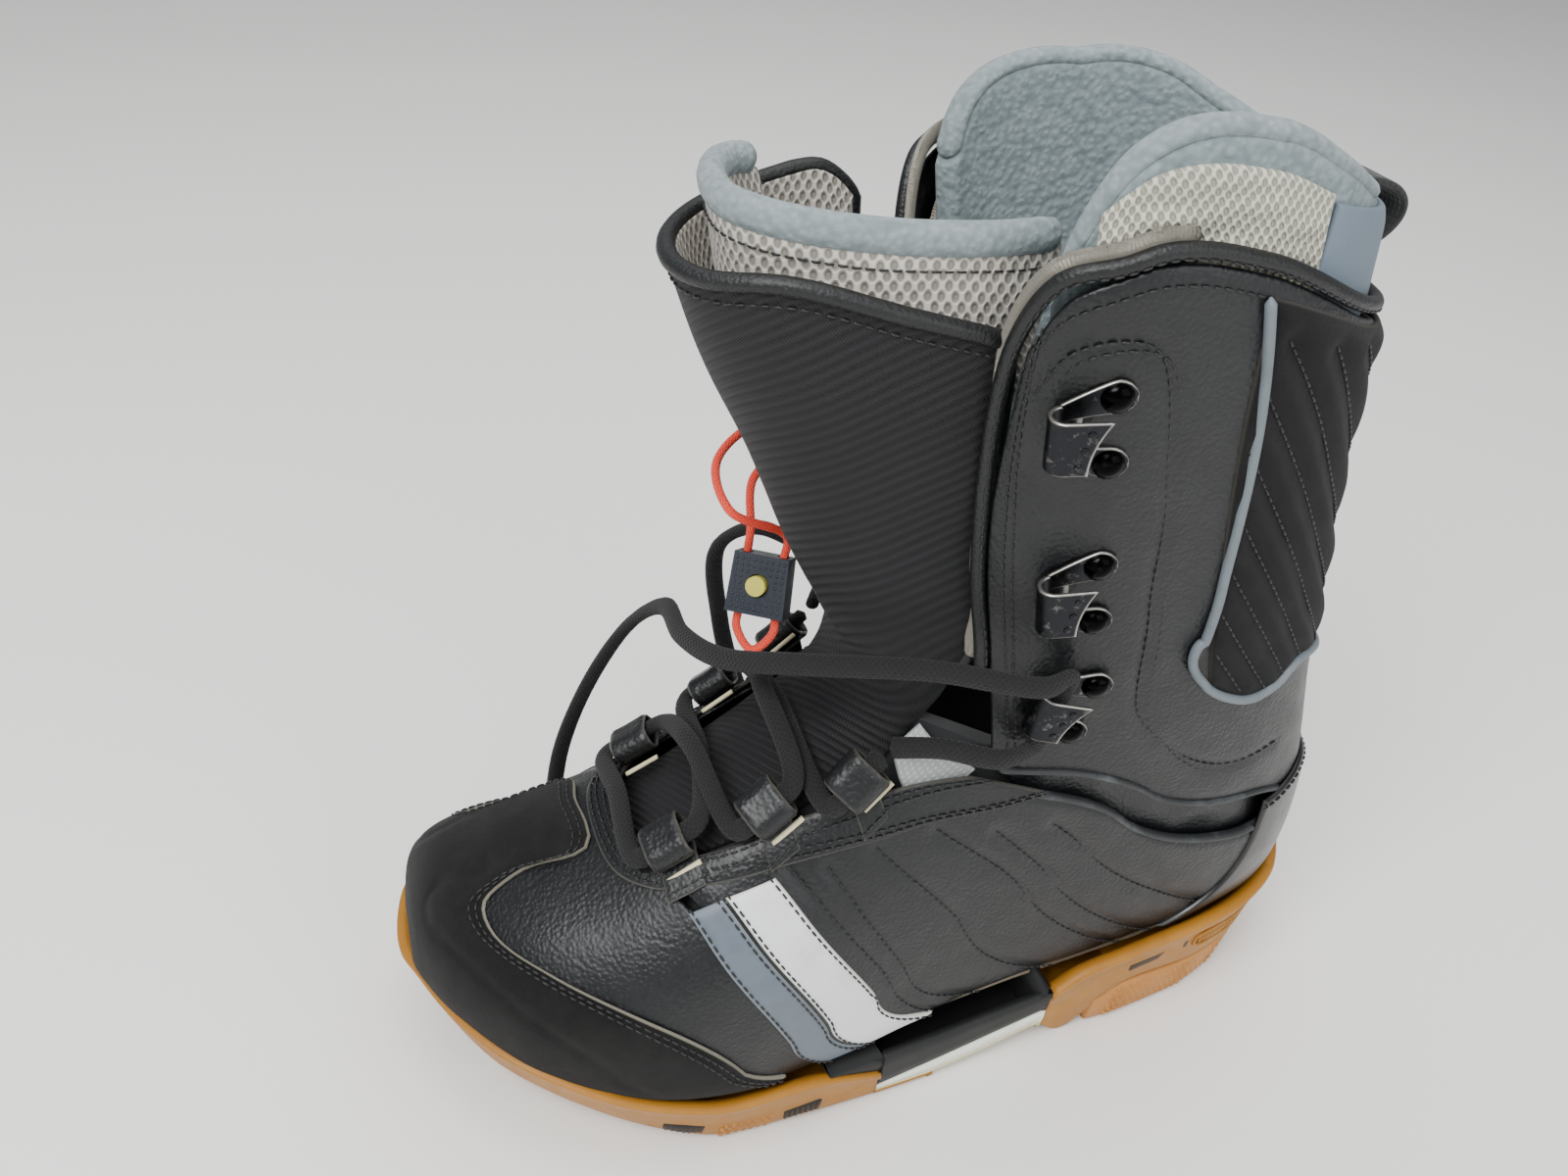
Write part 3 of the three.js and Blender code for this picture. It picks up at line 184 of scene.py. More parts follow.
def length_of(points):
    return float(np.linalg.norm(np.diff(points, axis=0), axis=1).sum())


def even(points, step):
    """The smooth curve through 3-D points as points about step apart."""
    rough = smooth(points, np.linspace(0, 1, 200))
    return smooth(points, np.linspace(0, 1, max(int(length_of(rough) / step), 4) + 1))


def mirrored(points):
    return [[s, -a] for s, a in points]


def over_top(points):
    """The half line from the outer end to the top, continued down the inner side."""
    return points[:-1] + mirrored(points[:-1])[::-1]


def round_back(points):
    return points[:-1] + [[s, 360 - a] for s, a in points[:-1]][::-1]


def flip(points, side):
    return points if side > 0 else mirrored(points)


# ---- Meshes -------------------------------------------------------------------------------


def make(name, points, faces, body, material, stands_for=(), uv=None, rim=None):
    """A finished mesh piece from points in millimetres, on its body, with its finish."""
    mesh = bpy.data.meshes.new(name)
    mesh.from_pydata((np.asarray(points) * MM).tolist(), [], [list(map(int, f)) for f in faces])
    mesh.validate()
    mesh.polygons.foreach_set("use_smooth", [True] * len(mesh.polygons))
    if uv is not None:
        corner = np.empty(len(mesh.loops), int)
        mesh.loops.foreach_get("vertex_index", corner)
        mesh.uv_layers.new(name="UVMap").data.foreach_set("uv",
                                                          np.asarray(uv)[corner].astype(np.float32).ravel())
    if rim is not None:
        mesh.attributes.new("rim", "FLOAT", "POINT").data.foreach_set("value", np.asarray(rim, np.float32))
    mesh.materials.append(material)
    piece = bpy.data.objects.new(name, mesh)
    bpy.context.scene.collection.objects.link(piece)
    if body:
        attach(piece, body)
    if stands_for:
        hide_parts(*stands_for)
    return piece


def ticks(length, step, edge):
    """Fractions along a side: fine near both ends, where the edge is rounded, and even between."""
    edge = min(edge, length / 4)
    near = edge * np.array([0, 0.12, 0.35, 0.65, 1.0])
    middle = np.linspace(edge, length - edge, max(int((length - 2 * edge) / step), 1) + 1)[1:-1]
    return np.concatenate([near, middle, length - near[::-1]]) / length


def patch(lower, upper, step=1.3, edge=1.2, bow=None):
    """Stations and angles of a panel between two lines, in rows from lower to upper."""
    rough = np.linspace(0, 1, 24)
    low, high = smooth(lower, rough), smooth(upper, rough)
    middle = last_point(*((low + high) / 2).T)
    heights = np.linalg.norm(last_point(*high.T) - last_point(*low.T), axis=1)
    u = ticks(length_of(middle), step, edge)
    v = ticks(float(heights.max()), step, edge)
    low, high = smooth(lower, u), smooth(upper, u)
    stations = low[None, :, 0] * (1 - v[:, None]) + high[None, :, 0] * v[:, None]
    angles = low[None, :, 1] * (1 - v[:, None]) + high[None, :, 1] * v[:, None]
    if bow is not None:
        angles = angles + bow(v)[:, None] * (1 - u[None, :]) ** 2
    return stations, angles


class Sheet:
    """A rolled-edge sheet: its outer face is a grid of points with normals."""

    def __init__(self, points, normals, thick, edge=1.2, wrap=False):
        self.points, self.normals, self.thick, self.edge, self.wrap = points, normals, thick, edge, wrap
        steps_u = np.linalg.norm(np.diff(points, axis=1), axis=2)
        steps_v = np.linalg.norm(np.diff(points, axis=0), axis=2)
        self.u = np.concatenate([np.zeros((len(points), 1)), np.cumsum(steps_u, 1)], 1)
        self.v = np.concatenate([np.zeros((1, points.shape[1])), np.cumsum(steps_v, 0)], 0)
        self.raised = np.zeros(points.shape[:2])

    def border(self):
        from_rows = np.minimum(self.v, self.v[-1:] - self.v)
        if self.wrap:
            return from_rows
        return np.minimum(from_rows, np.minimum(self.u, self.u[:, -1:] - self.u))

    def quilt(self, seams, height, reach):
        """Fills the sheet out by height, except where its sewn lines hold it down."""
        tree = kdtree.KDTree(sum(len(seam) for seam in seams))
        for i, point in enumerate(p for seam in seams for p in seam):
            tree.insert(point, i)
        tree.balance()
        flat = self.points.reshape(-1, 3)
        away = np.array([tree.find(p)[2] for p in flat]).reshape(self.points.shape[:2])
        fade = 1 - np.exp(-(self.border() / 3) ** 2)
        self.raised += height * (1 - np.exp(-(away / reach) ** 2)) * fade
        return self

    def puff(self, height, reach):
        self.raised += height * (1 - np.exp(-(self.border() / reach) ** 2))
        return self

    def ripple(self, height, wave, stretch=(1, 1, 1), seed=0.0):
        """Soft creases of about one wave length, fading at the border."""
        from mathutils import noise
        fade = 1 - np.exp(-(self.border() / 4) ** 2)
        flat = self.points.reshape(-1, 3) * np.array(stretch) / wave + seed
        bumps = np.array([noise.noise(Vector(p)) for p in flat]).reshape(fade.shape)
        self.raised += height * bumps * fade
        return self

    def build(self, name, body, material, stands_for=()):
        rows, columns = self.points.shape[:2]
        d = self.border()
        r = min(self.edge, self.thick * 0.55)
        inside = np.clip(r - d, 0, r)
        drop = r - np.sqrt(np.maximum(r * r - inside * inside, 0))
        outer = self.points + self.normals * (self.raised - drop)[..., None]
        inner = self.points - self.normals * (self.thick - drop * 0.7)[..., None]
        points = np.concatenate([outer.reshape(-1, 3), inner.reshape(-1, 3)])
        index = np.arange(rows * columns).reshape(rows, columns)
        if self.wrap:
            index = np.concatenate([index, index[:, :1]], 1)
        a, b, c, e = index[:-1, :-1], index[1:, :-1], index[1:, 1:], index[:-1, 1:]
        top = np.stack([a, b, c, e], -1).reshape(-1, 4)
        under = top[:, ::-1] + rows * columns
        edges = [np.stack([index[0, :-1], index[0, 1:]], 1), np.stack([index[-1, 1:], index[-1, :-1]], 1)]
        if not self.wrap:
            edges += [np.stack([index[1:, 0], index[:-1, 0]], 1),
                      np.stack([index[:-1, -1], index[1:, -1]], 1)]
        edges = np.concatenate(edges)
        wall = np.stack([edges[:, 0], edges[:, 1], edges[:, 1] + rows * columns,
                         edges[:, 0] + rows * columns], 1)
        i, j = rows // 2, columns // 2
        across = self.points[i, (j + 1) % columns] - self.points[i, j]
        up = self.points[i + 1, j] - self.points[i, j]
        faces = np.concatenate([top, under, wall])
        if np.dot(np.cross(up, across), self.normals[i, j]) < 0:
            faces = faces[:, ::-1]
        uv = np.stack([self.u, self.v], -1).reshape(-1, 2) * MM
        rim = np.exp(-(d / (0.5 * r + 0.2)) ** 2).reshape(-1)
        return make(name, points, faces, body, material, stands_for,
                    np.concatenate([uv, uv]), np.concatenate([rim, rim]))

    def row(self, side, inset, lift=0.25):
        """A line of points and normals inset millimetres inside one side of the sheet."""
        top = self.points + self.normals * (self.raised + lift)[..., None]
        grids = {"low": (self.v, 0), "high": (self.v[-1:] - self.v, 0),
                 "start": (self.u, 1), "end": (self.u[:, -1:] - self.u, 1)}
        away, axis = grids[side]
        if axis == 1:
            away, top, normals = away.T, top.transpose(1, 0, 2), self.normals.transpose(1, 0, 2)
        else:
            normals = self.normals
        points, up = [], []
        for j in range(away.shape[1]):
            order = np.argsort(away[:, j])
            points.append([np.interp(inset, away[order, j], top[order, j, k]) for k in range(3)])
            up.append([np.interp(inset, away[order, j], normals[order, j, k]) for k in range(3)])
        return np.array(points), unit(np.array(up))


def on_last(lower, upper, depth, thick, step=1.3, edge=1.2, bow=None):
    s, a = patch(lower, upper, step, edge, bow)
    return Sheet(skin(s, a, depth), last_normal(s, a), thick, edge)


def seam(points, depth, step=2.0, lift=0.25):
    """A sewn line on the last: points and normals."""
    rough = smooth(points, np.linspace(0, 1, 60))
    count = max(int(length_of(last_point(*rough.T)) / step), 3)
    s, a = smooth(points, np.linspace(0, 1, count + 1)).T
    return skin(s, a, depth - lift), last_normal(s, a)


def frames_along(path, normals=None):
    """Tangent, normal and side vectors along a path of points."""
    tangent = unit(np.gradient(path, axis=0))
    if normals is None:
        normals = [np.cross(tangent[0], [0.3, 0.2, 1.0])]
        for t in tangent[1:]:
            normals.append(normals[-1] - t * np.dot(normals[-1], t))
        normals = np.array(normals)
    normals = unit(normals - tangent * (normals * tangent).sum(1, keepdims=True))
    return tangent, normals, np.cross(tangent, normals)


def swept(name, path, width, height, body, material, stands_for=(), normals=None, sides=14, taper=0.0):
    """A cord, strap or rolled edge of oval section along a path, with its length in U and girth in V."""
    tangent, up, side = frames_along(path, normals)
    angle = np.linspace(0, 2 * np.pi, sides, endpoint=False)
    along = np.concatenate([[0], np.cumsum(np.linalg.norm(np.diff(path, axis=0), axis=1))])
    size = np.ones(len(path))
    if taper:
        ends = np.minimum(along, along[-1] - along)
        size = np.sqrt(np.clip(1 - (1 - np.clip(ends / taper, 0, 1)) ** 2, 0.04, 1))
    ring = (side[:, None] * (np.cos(angle) * width / 2)[None, :, None]
            + up[:, None] * (np.sin(angle) * height / 2)[None, :, None])
    points = path[:, None] + ring * size[:, None, None]
    count = len(path)
    index = np.arange(count * sides).reshape(count, sides)
    nxt = np.roll(index, -1, 1)
    faces = np.stack([index[:-1], nxt[:-1], nxt[1:], index[1:]], -1).reshape(-1, 4)[:, ::-1].tolist()
    ends = [index[0].tolist(), index[-1][::-1].tolist()]
    around = np.abs(angle / np.pi - 1)
    uv = np.stack([np.repeat(along[:, None], sides, 1) * MM, np.repeat(around[None], count, 0)],
                  -1).reshape(-1, 2)
    return make(name, points.reshape(-1, 3), faces + ends, body, material, stands_for, uv)


def loft(name, rings, body, material, stands_for=()):
    """A closed body through rings of points, capped at both ends."""
    rings = np.asarray(rings)
    count, around = rings.shape[:2]
    index = np.arange(count * around).reshape(count, around)
    nxt = np.roll(index, -1, 1)
    faces = np.stack([index[:-1], nxt[:-1], nxt[1:], index[1:]], -1).reshape(-1, 4)
    points = rings.reshape(-1, 3)
    quad = points[faces]
    normal = np.cross(quad[:, 2] - quad[:, 0], quad[:, 3] - quad[:, 1])
    volume = (quad.mean(1) * normal).sum()
    faces = faces.tolist()
    ends = [index[0][::-1].tolist(), index[-1].tolist()]
    if volume < 0:
        faces = [f[::-1] for f in faces]
        ends = [e[::-1] for e in ends]
    return make(name, points, faces + ends, body, material, stands_for)


# ---- Materials ----------------------------------------------------------------------------


def colour(hex_code):
    """An sRGB hex value as linear RGBA."""
    parts = [int(hex_code[i:i + 2], 16) / 255 for i in (0, 2, 4)]
    return [c / 12.92 if c <= 0.04045 else ((c + 0.055) / 1.055) ** 2.4 for c in parts] + [1.0]


def add(tree, kind, inputs=None, **settings):
    """Adds a node with its settings; an input is a value, or another node's output."""
    node = tree.nodes.new(kind)
    for key, value in settings.items():
        setattr(node, key, value)
    for key, value in (inputs or {}).items():
        if isinstance(value, bpy.types.NodeSocket):
            tree.links.new(value, node.inputs[key])
        else:
            node.inputs[key].default_value = value
    return node


class Finish:
    """A procedural material: colours and bumps are stacked on one Principled shader."""

    def __init__(self, name, base, roughness, **shader):
        self.material = bpy.data.materials.new(name)
        self.material.use_nodes = True
        self.tree = self.material.node_tree
        self.tree.nodes.clear()
        self.shader = add(self.tree, "ShaderNodeBsdfPrincipled",
                          {"Base Color": colour(base), "Roughness": roughness,
                           **{key.replace("_", " "): value for key, value in shader.items()}})
        add(self.tree, "ShaderNodeOutputMaterial", {"Surface": self.shader.outputs[0]})
        where = add(self.tree, "ShaderNodeTexCoord")
        self.place, self.uv = where.outputs["Object"], where.outputs["UV"]
        self.tint, self.bump, self.base = None, None, colour(base)

    def noise(self, size_mm, detail=4, vector=None, roughness=0.55):
        return add(self.tree, "ShaderNodeTexNoise",
                   {"Vector": vector or self.place, "Scale": 1 / (size_mm * MM), "Detail": detail,
                    "Roughness": roughness}).outputs["Fac"]

    def ramp(self, value, low, high):
        return add(self.tree, "ShaderNodeMapRange",
                   {"Value": value, "From Min": low, "From Max": high}).outputs[0]

    def mix(self, factor, second, amount=1.0):
        """Blends the colour so far towards a second one where factor is high."""
        if amount < 1:
            factor = add(self.tree, "ShaderNodeMath", {0: factor, 1: amount}, operation="MULTIPLY").outputs[0]
        blend = add(self.tree, "ShaderNodeMix", {0: factor, 6: self.tint or self.base, 7: colour(second)},
                    data_type="RGBA")
        self.tint = blend.outputs[2]
        self.tree.links.new(self.tint, self.shader.inputs["Base Color"])
        return self

    def relief(self, height, depth_mm, strength=1.0):
        inputs = {"Height": height, "Distance": depth_mm * MM, "Strength": strength}
        if self.bump:
            inputs["Normal"] = self.bump
        self.bump = add(self.tree, "ShaderNodeBump", inputs).outputs[0]
        self.tree.links.new(self.bump, self.shader.inputs["Normal"])
        return self

    def rough(self, factor, low, high):
        spread = add(self.tree, "ShaderNodeMapRange", {"Value": factor, "To Min": low, "To Max": high})
        self.tree.links.new(spread.outputs[0], self.shader.inputs["Roughness"])
        return self

    def rim(self, low=0.25, high=0.8):
        edge = add(self.tree, "ShaderNodeAttribute", attribute_name="rim").outputs["Fac"]
        return self.ramp(edge, low, high)

    def cells(self, size_mm, vector=None, feature="F1", stretch=None, turn=0, spread=1.0):
        vector = vector or self.place
        if stretch:
            vector = add(self.tree, "ShaderNodeMapping", {"Vector": vector, "Scale": stretch,
                                                          "Rotation": (0, 0, math.radians(turn))}).outputs[0]
        return add(self.tree, "ShaderNodeTexVoronoi",
                   {"Vector": vector, "Scale": 1 / (size_mm * MM), "Randomness": spread},
                   feature=feature).outputs["Distance"]

    def bands(self, pitch_mm, turn, vector=None):
        """Straight threads pitch_mm apart, turned by an angle in degrees about Z of the coordinate."""
        turned = add(self.tree, "ShaderNodeMapping",
                     {"Vector": vector or self.uv, "Rotation": (0, 0, math.radians(turn))}).outputs[0]
        wave = add(self.tree, "ShaderNodeTexWave",
                   {"Vector": turned, "Scale": 1 / (pitch_mm * MM) / 20 * math.pi * 2}, bands_direction="X")
        return wave.outputs["Fac"]

    def times(self, a, b, operation="MULTIPLY"):
        return add(self.tree, "ShaderNodeMath", {0: a, 1: b}, operation=operation).outputs[0]


def grained_leather(name, base, worn, roughness=0.46, grain=1.3, cut="8D8A80", cut_amount=0.0):
    """Corrected-grain leather, embossed with round pebbles that catch the light; the gaps between them are
    painted darker, as painted shade.
    """
    f = Finish(name, base, roughness, Specular_IOR_Level=0.4, Coat_Weight=0.1, Coat_Roughness=0.28)
    pebble = f.cells(grain, feature="SMOOTH_F1")
    f.mix(f.ramp(f.noise(38, 5), 0.45, 0.75), worn, 0.35)
    # The gaps between the pebbles are painted near black: painted shade in the grain's hollows.
    f.mix(f.ramp(pebble, 0.2, 0.62), "08090A", 0.45)
    f.mix(f.rim(0.3, 0.9), cut, cut_amount) if cut_amount else None
    f.rough(f.noise(9, 4), roughness - 0.1, roughness + 0.16)
    f.relief(f.times(1.0, pebble, "SUBTRACT"), 0.3, 0.9)
    f.relief(f.noise(0.35, 3), 0.05, 0.5)
    f.relief(f.noise(16, 3), 0.7, 0.3)
    return f.material


def split_suede(name, base, brushed, cut="8B8778", cut_amount=0.75):
    """Split leather with a raised nap, brushed lighter in patches."""
    f = Finish(name, base, 0.95, Sheen_Weight=0.06, Sheen_Roughness=0.5, Specular_IOR_Level=0.2)
    f.mix(f.ramp(f.noise(16, 6, roughness=0.7), 0.42, 0.72), brushed, 0.8)
    f.mix(f.ramp(f.noise(0.8, 4), 0.52, 0.8), brushed, 0.7)
    f.mix(f.rim(0.35, 0.9), cut, cut_amount)
    f.relief(f.noise(0.5, 5, roughness=0.75), 0.28, 0.9)
    f.relief(f.noise(7, 4), 0.5, 0.35)
    return f.material


def smooth_coated(name, base, dirt, roughness, grain=0.5, worn_rim=None):
    """Coated synthetic leather: almost even, with scuffs."""
    f = Finish(name, base, roughness, Coat_Weight=0.12, Coat_Roughness=0.3)
    f.mix(f.ramp(f.noise(12, 6, roughness=0.7), 0.5, 0.8), dirt, 0.5)
    if worn_rim:
        f.mix(f.rim(0.2, 0.8), worn_rim, 0.7)
    f.rough(f.noise(7, 5), roughness - 0.12, roughness + 0.15)
    f.relief(f.noise(grain, 3), 0.05, 0.6)
    f.relief(f.noise(15, 3), 0.5, 0.3)
    return f.material


def gum_rubber(name, base, dark, grime, fine=0.4):
    """Natural crepe-coloured rubber, moulded: waxy, with darker grime in patches."""
    f = Finish(name, base, 0.48, Specular_IOR_Level=0.4, Subsurface_Weight=0.06,
               Subsurface_Radius=(0.004, 0.002, 0.001))
    f.mix(f.ramp(f.noise(25, 6, roughness=0.65), 0.4, 0.75), dark, 0.55)
    f.mix(f.ramp(f.noise(4, 6, roughness=0.75), 0.56, 0.8), grime, 0.45)
    f.rough(f.noise(6, 5), 0.36, 0.66)
    f.relief(f.noise(fine, 3), 0.06, 0.7)
    f.relief(f.noise(10, 4), 0.3, 0.4)
    return f.material


def foam_rubber(name, base, grime, roughness=0.7):
    """Moulded foam sidewall with a fine matt skin."""
    f = Finish(name, base, roughness)
    f.mix(f.ramp(f.noise(9, 6, roughness=0.75), 0.5, 0.78), grime, 0.6)
    f.relief(f.noise(0.6, 4), 0.1, 0.7)
    return f.material


def twill_nylon(name, base, light, pitch=1.5):
    """Coarse nylon in a twill: steep raised ribs crossed by fine threads, their raised tops painted lighter
    as a painted highlight.
    """
    f = Finish(name, base, 0.72, Sheen_Weight=0.03, Specular_IOR_Level=0.35)
    rib = f.bands(pitch, 62)
    thread = f.bands(pitch * 0.5, -30)
    # The light colour goes on the raised tops of ribs and threads: a painted highlight.
    f.mix(f.ramp(f.times(rib, thread), 0.15, 0.7), light, 0.8)
    f.mix(f.ramp(f.noise(30, 4), 0.45, 0.8), "0F0F12", 0.5)
    f.relief(rib, 0.45, 1.0)
    f.relief(thread, 0.16, 0.8)
    return f.material


def spacer_mesh(name, base, painted_hole_shade, size=3.0):
    """Knitted spacer mesh: an open honeycomb of pale yarn, its holes painted darker as painted shade."""
    f = Finish(name, base, 0.9, Sheen_Weight=0.2)
    net = f.cells(size, vector=f.uv, stretch=(1.25, 0.8, 1.0), turn=45, spread=0.1)
    f.mix(f.ramp(f.noise(20, 5), 0.45, 0.75), "B9B6A8", 0.5)
    # The holes are painted darker: painted shade inside the honeycomb.
    f.mix(f.ramp(net, 0.44, 0.3), painted_hole_shade, 0.8)
    f.relief(f.ramp(net, 0.22, 0.5), 0.7, 1.0)
    f.relief(f.noise(0.5, 3), 0.1, 0.6)
    return f.material


def brushed_fleece(name, base, shade):
    """Brushed fleece: short matted fibres in soft tufts, with painted shade between the tufts."""
    f = Finish(name, base, 1.0, Sheen_Weight=0.15, Sheen_Roughness=0.6, Specular_IOR_Level=0.15)
    loops = f.cells(1.9, feature="SMOOTH_F1")
    # Painted shade: the gaps between the tufts take the shade colour. The next line varies the tone at
    # random.
    f.mix(f.ramp(loops, 0.25, 0.7), shade, 0.75)
    f.mix(f.ramp(f.noise(9, 6, roughness=0.7), 0.4, 0.72), shade, 0.5)
    f.relief(f.times(1.0, loops, "SUBTRACT"), 0.8, 1.0)
    f.relief(f.noise(0.9, 6, roughness=0.8), 0.4, 0.9)
    f.relief(f.noise(6, 4), 0.9, 0.5)
    return f.material


def braid(name, base, light, pitch=2.4, roughness=0.8):
    """A plaited cord: two sets of yarns cross it on the slant; the yarns' raised ridges are painted lighter
    as a painted highlight.
    """
    f = Finish(name, base, roughness, Sheen_Weight=0.04)
    girth = add(f.tree, "ShaderNodeMapping", {"Vector": f.uv, "Scale": (1, 0.008, 1)}).outputs[0]
    one, two = f.bands(pitch, 45, girth), f.bands(pitch, -45, girth)
    cross = add(f.tree, "ShaderNodeMath", {0: one, 1: two}, operation="MAXIMUM").outputs[0]
    # The light colour goes on the raised ridges of the yarns: a painted highlight.
    f.mix(f.ramp(cross, 0.55, 1.0), light, 0.8)
    f.relief(cross, 0.3, 1.0)
    f.relief(f.noise(0.4, 3), 0.06, 0.6)
    return f.material


def webbing(name, base, light, pitch=1.6):
    """Plain woven polyester tape; the raised crossings of its yarns are painted lighter as a painted
    highlight.
    """
    f = Finish(name, base, 0.8, Sheen_Weight=0.15)
    warp, weft = f.bands(pitch, 0), f.bands(pitch * 1.3, 90)
    grid = f.times(warp, weft)
    # The light colour goes on the raised crossings of warp and weft: a painted highlight.
    f.mix(f.ramp(grid, 0.1, 0.7), light, 0.7)
    f.relief(grid, 0.22, 0.9)
    return f.material


def plated_steel(name, base, bright, roughness=0.3):
    """Gunmetal-plated steel; the plating is rubbed bright on the edges."""
    f = Finish(name, base, roughness, Metallic=1.0)
    f.mix(f.rim(0.25, 0.9), bright, 0.85)
    f.mix(f.ramp(f.noise(3, 6, roughness=0.75), 0.56, 0.72), bright, 0.35)
    f.rough(f.noise(2.5, 5), roughness - 0.1, roughness + 0.2)
    f.relief(f.noise(0.8, 4), 0.03, 0.6)
    return f.material


def moulded(name, base, roughness, grain=0.5, coat=0.0, fade=None):
    """Injection-moulded plastic with a light spark-eroded grain."""
    f = Finish(name, base, roughness, Coat_Weight=coat, Coat_Roughness=0.15)
    if fade:
        f.mix(f.ramp(f.noise(14, 5), 0.45, 0.8), fade, 0.5)
    f.rough(f.noise(5, 4), max(roughness - 0.08, 0.05), roughness + 0.12)
    f.relief(f.noise(grain, 3), 0.03, 0.6)
    return f.material


# The record's finish that each material belongs to.
M = {
    "leather": grained_leather("pebbled full-grain leather", "0A0C0F", "15191C", 0.42, 1.2),
    "leather_pale_edge": grained_leather("pebbled leather with raw edges", "0A0C0E", "15191C", 0.42, 1.2,
                                         cut="5E5C55", cut_amount=0.6),
    "suede": split_suede("black split suede", "0B0B0B", "1B1A19"),
    "suede_panel": split_suede("quilted split suede", "0A0A0B", "171717", cut_amount=0.1),
    "grey_stripe": smooth_coated("grey coated synthetic leather", "5A646E", "3F474D", 0.5, worn_rim="7F888E"),
    "white_stripe": smooth_coated("white coated synthetic leather", "D9DDDB", "A9A79A", 0.5,
                                  worn_rim="B9B6A8"),
    "counter": smooth_coated("lacquered moulded heel counter", "08090A", "131516", 0.34, grain=0.9),
    "piping": smooth_coated("worn grey rubberised piping", "646D73", "3D4143", 0.6, grain=0.7),
    "worn_edge": smooth_coated("worn rolled leather edge", "1D2022", "6B7276", 0.6, grain=0.7),
    "gum": gum_rubber("moulded gum rubber", "A06C1E", "855618", "5F401A"),
    "pale_gum": gum_rubber("knurled pale gum rubber", "B57B38", "94602A", "66492A", fine=0.8),
    "dark_inlay": foam_rubber("dark rubber inlay", "3A2C1C", "20180F"),
    "white_foam": foam_rubber("white moulded foam", "E3E6D8", "B6AE92"),
    "black_foam": foam_rubber("black moulded foam", "0D0E0F", "201E1B"),
    "cream": foam_rubber("cream rubber foxing", "CFC7A2", "8F8460"),
    "board": foam_rubber("bonded fibre board", "8A7D68", "6B5F4C"),
    "nylon": twill_nylon("coarse black nylon twill", "0A0A0C", "232327", 2.1),
    "rolled": grained_leather("rolled leather edge", "0D0F10", "181A1C", 0.5, 0.9),
    "grey_tape": webbing("grey webbing tape", "9A9F9E", "C0C4C1"),
    "black_tape": webbing("black webbing tape", "0B0C0D", "1C1D1F", 1.8),
    "lining": spacer_mesh("beige lining knit", "D2CCBC", "9A927F", 1.6),
    "mesh": spacer_mesh("white spacer mesh", "C6C0B6", "6A665F"),
    "flap_mesh": spacer_mesh("crinkled cream mesh", "CCCAB8", "7F7E70", 2.3),
    "liner_shell": webbing("dark woven liner shell", "131417", "202226", 2.0),
    "fleece": brushed_fleece("blue-grey looped fleece", "8B989A", "67767A"),
    "rim_fleece": brushed_fleece("grey fleece rim", "8E999B", "6C797C"),
    "foam_panel": smooth_coated("blue-grey bonded foam", "64727E", "525E69", 0.75, grain=0.8),
    "footbed": foam_rubber("dark foam footbed", "26282B", "3A3C3F", 0.9),
    "steel": plated_steel("gunmetal plated steel", "2B2C2F", "B9B7B0"),
    "rivet": plated_steel("black lacquered rivet", "0B0B0C", "3B3B3C", 0.16),
    "aglet": plated_steel("nickel lace tip", "8D8F91", "C9C9C6", 0.25),
    "lace": braid("black braided lace", "060607", "111112", 1.2, 0.92),
    "cord": braid("red braided draw cord", "D32714", "F2553A", 1.3, 0.6),
    "lock": moulded("navy moulded lock", "151B26", 0.42, fade="20293A"),
    "button": moulded("yellow-green moulded button", "B5B04A", 0.35, coat=0.2, fade="9C9740"),
    "thread": braid("bonded black thread", "0D0E10", "2B2D30", 0.5, 0.5),
}

# ---- What repeats: geometry nodes ---------------------------------------------------------


def dome(radius, height, around=14, rings=4, name="rivet_head", material=None):
    """A low domed head, closed underneath."""
    points, faces = [], []
    for i in range(rings):
        a = i / rings * math.pi / 2
        points += [(radius * math.cos(a) * math.cos(t), radius * math.cos(a) * math.sin(t),
                    height * math.sin(a))
                   for t in np.linspace(0, 2 * math.pi, around, endpoint=False)]
    points.append((0, 0, height))
    for i in range(rings - 1):
        for j in range(around):
            k = (j + 1) % around
            faces.append([i * around + j, i * around + k, (i + 1) * around + k, (i + 1) * around + j])
    last = (rings - 1) * around
    faces += [[last + j, last + (j + 1) % around, rings * around] for j in range(around)]
    faces.append(list(range(around))[::-1])
    return make(name, points, faces, None, material)


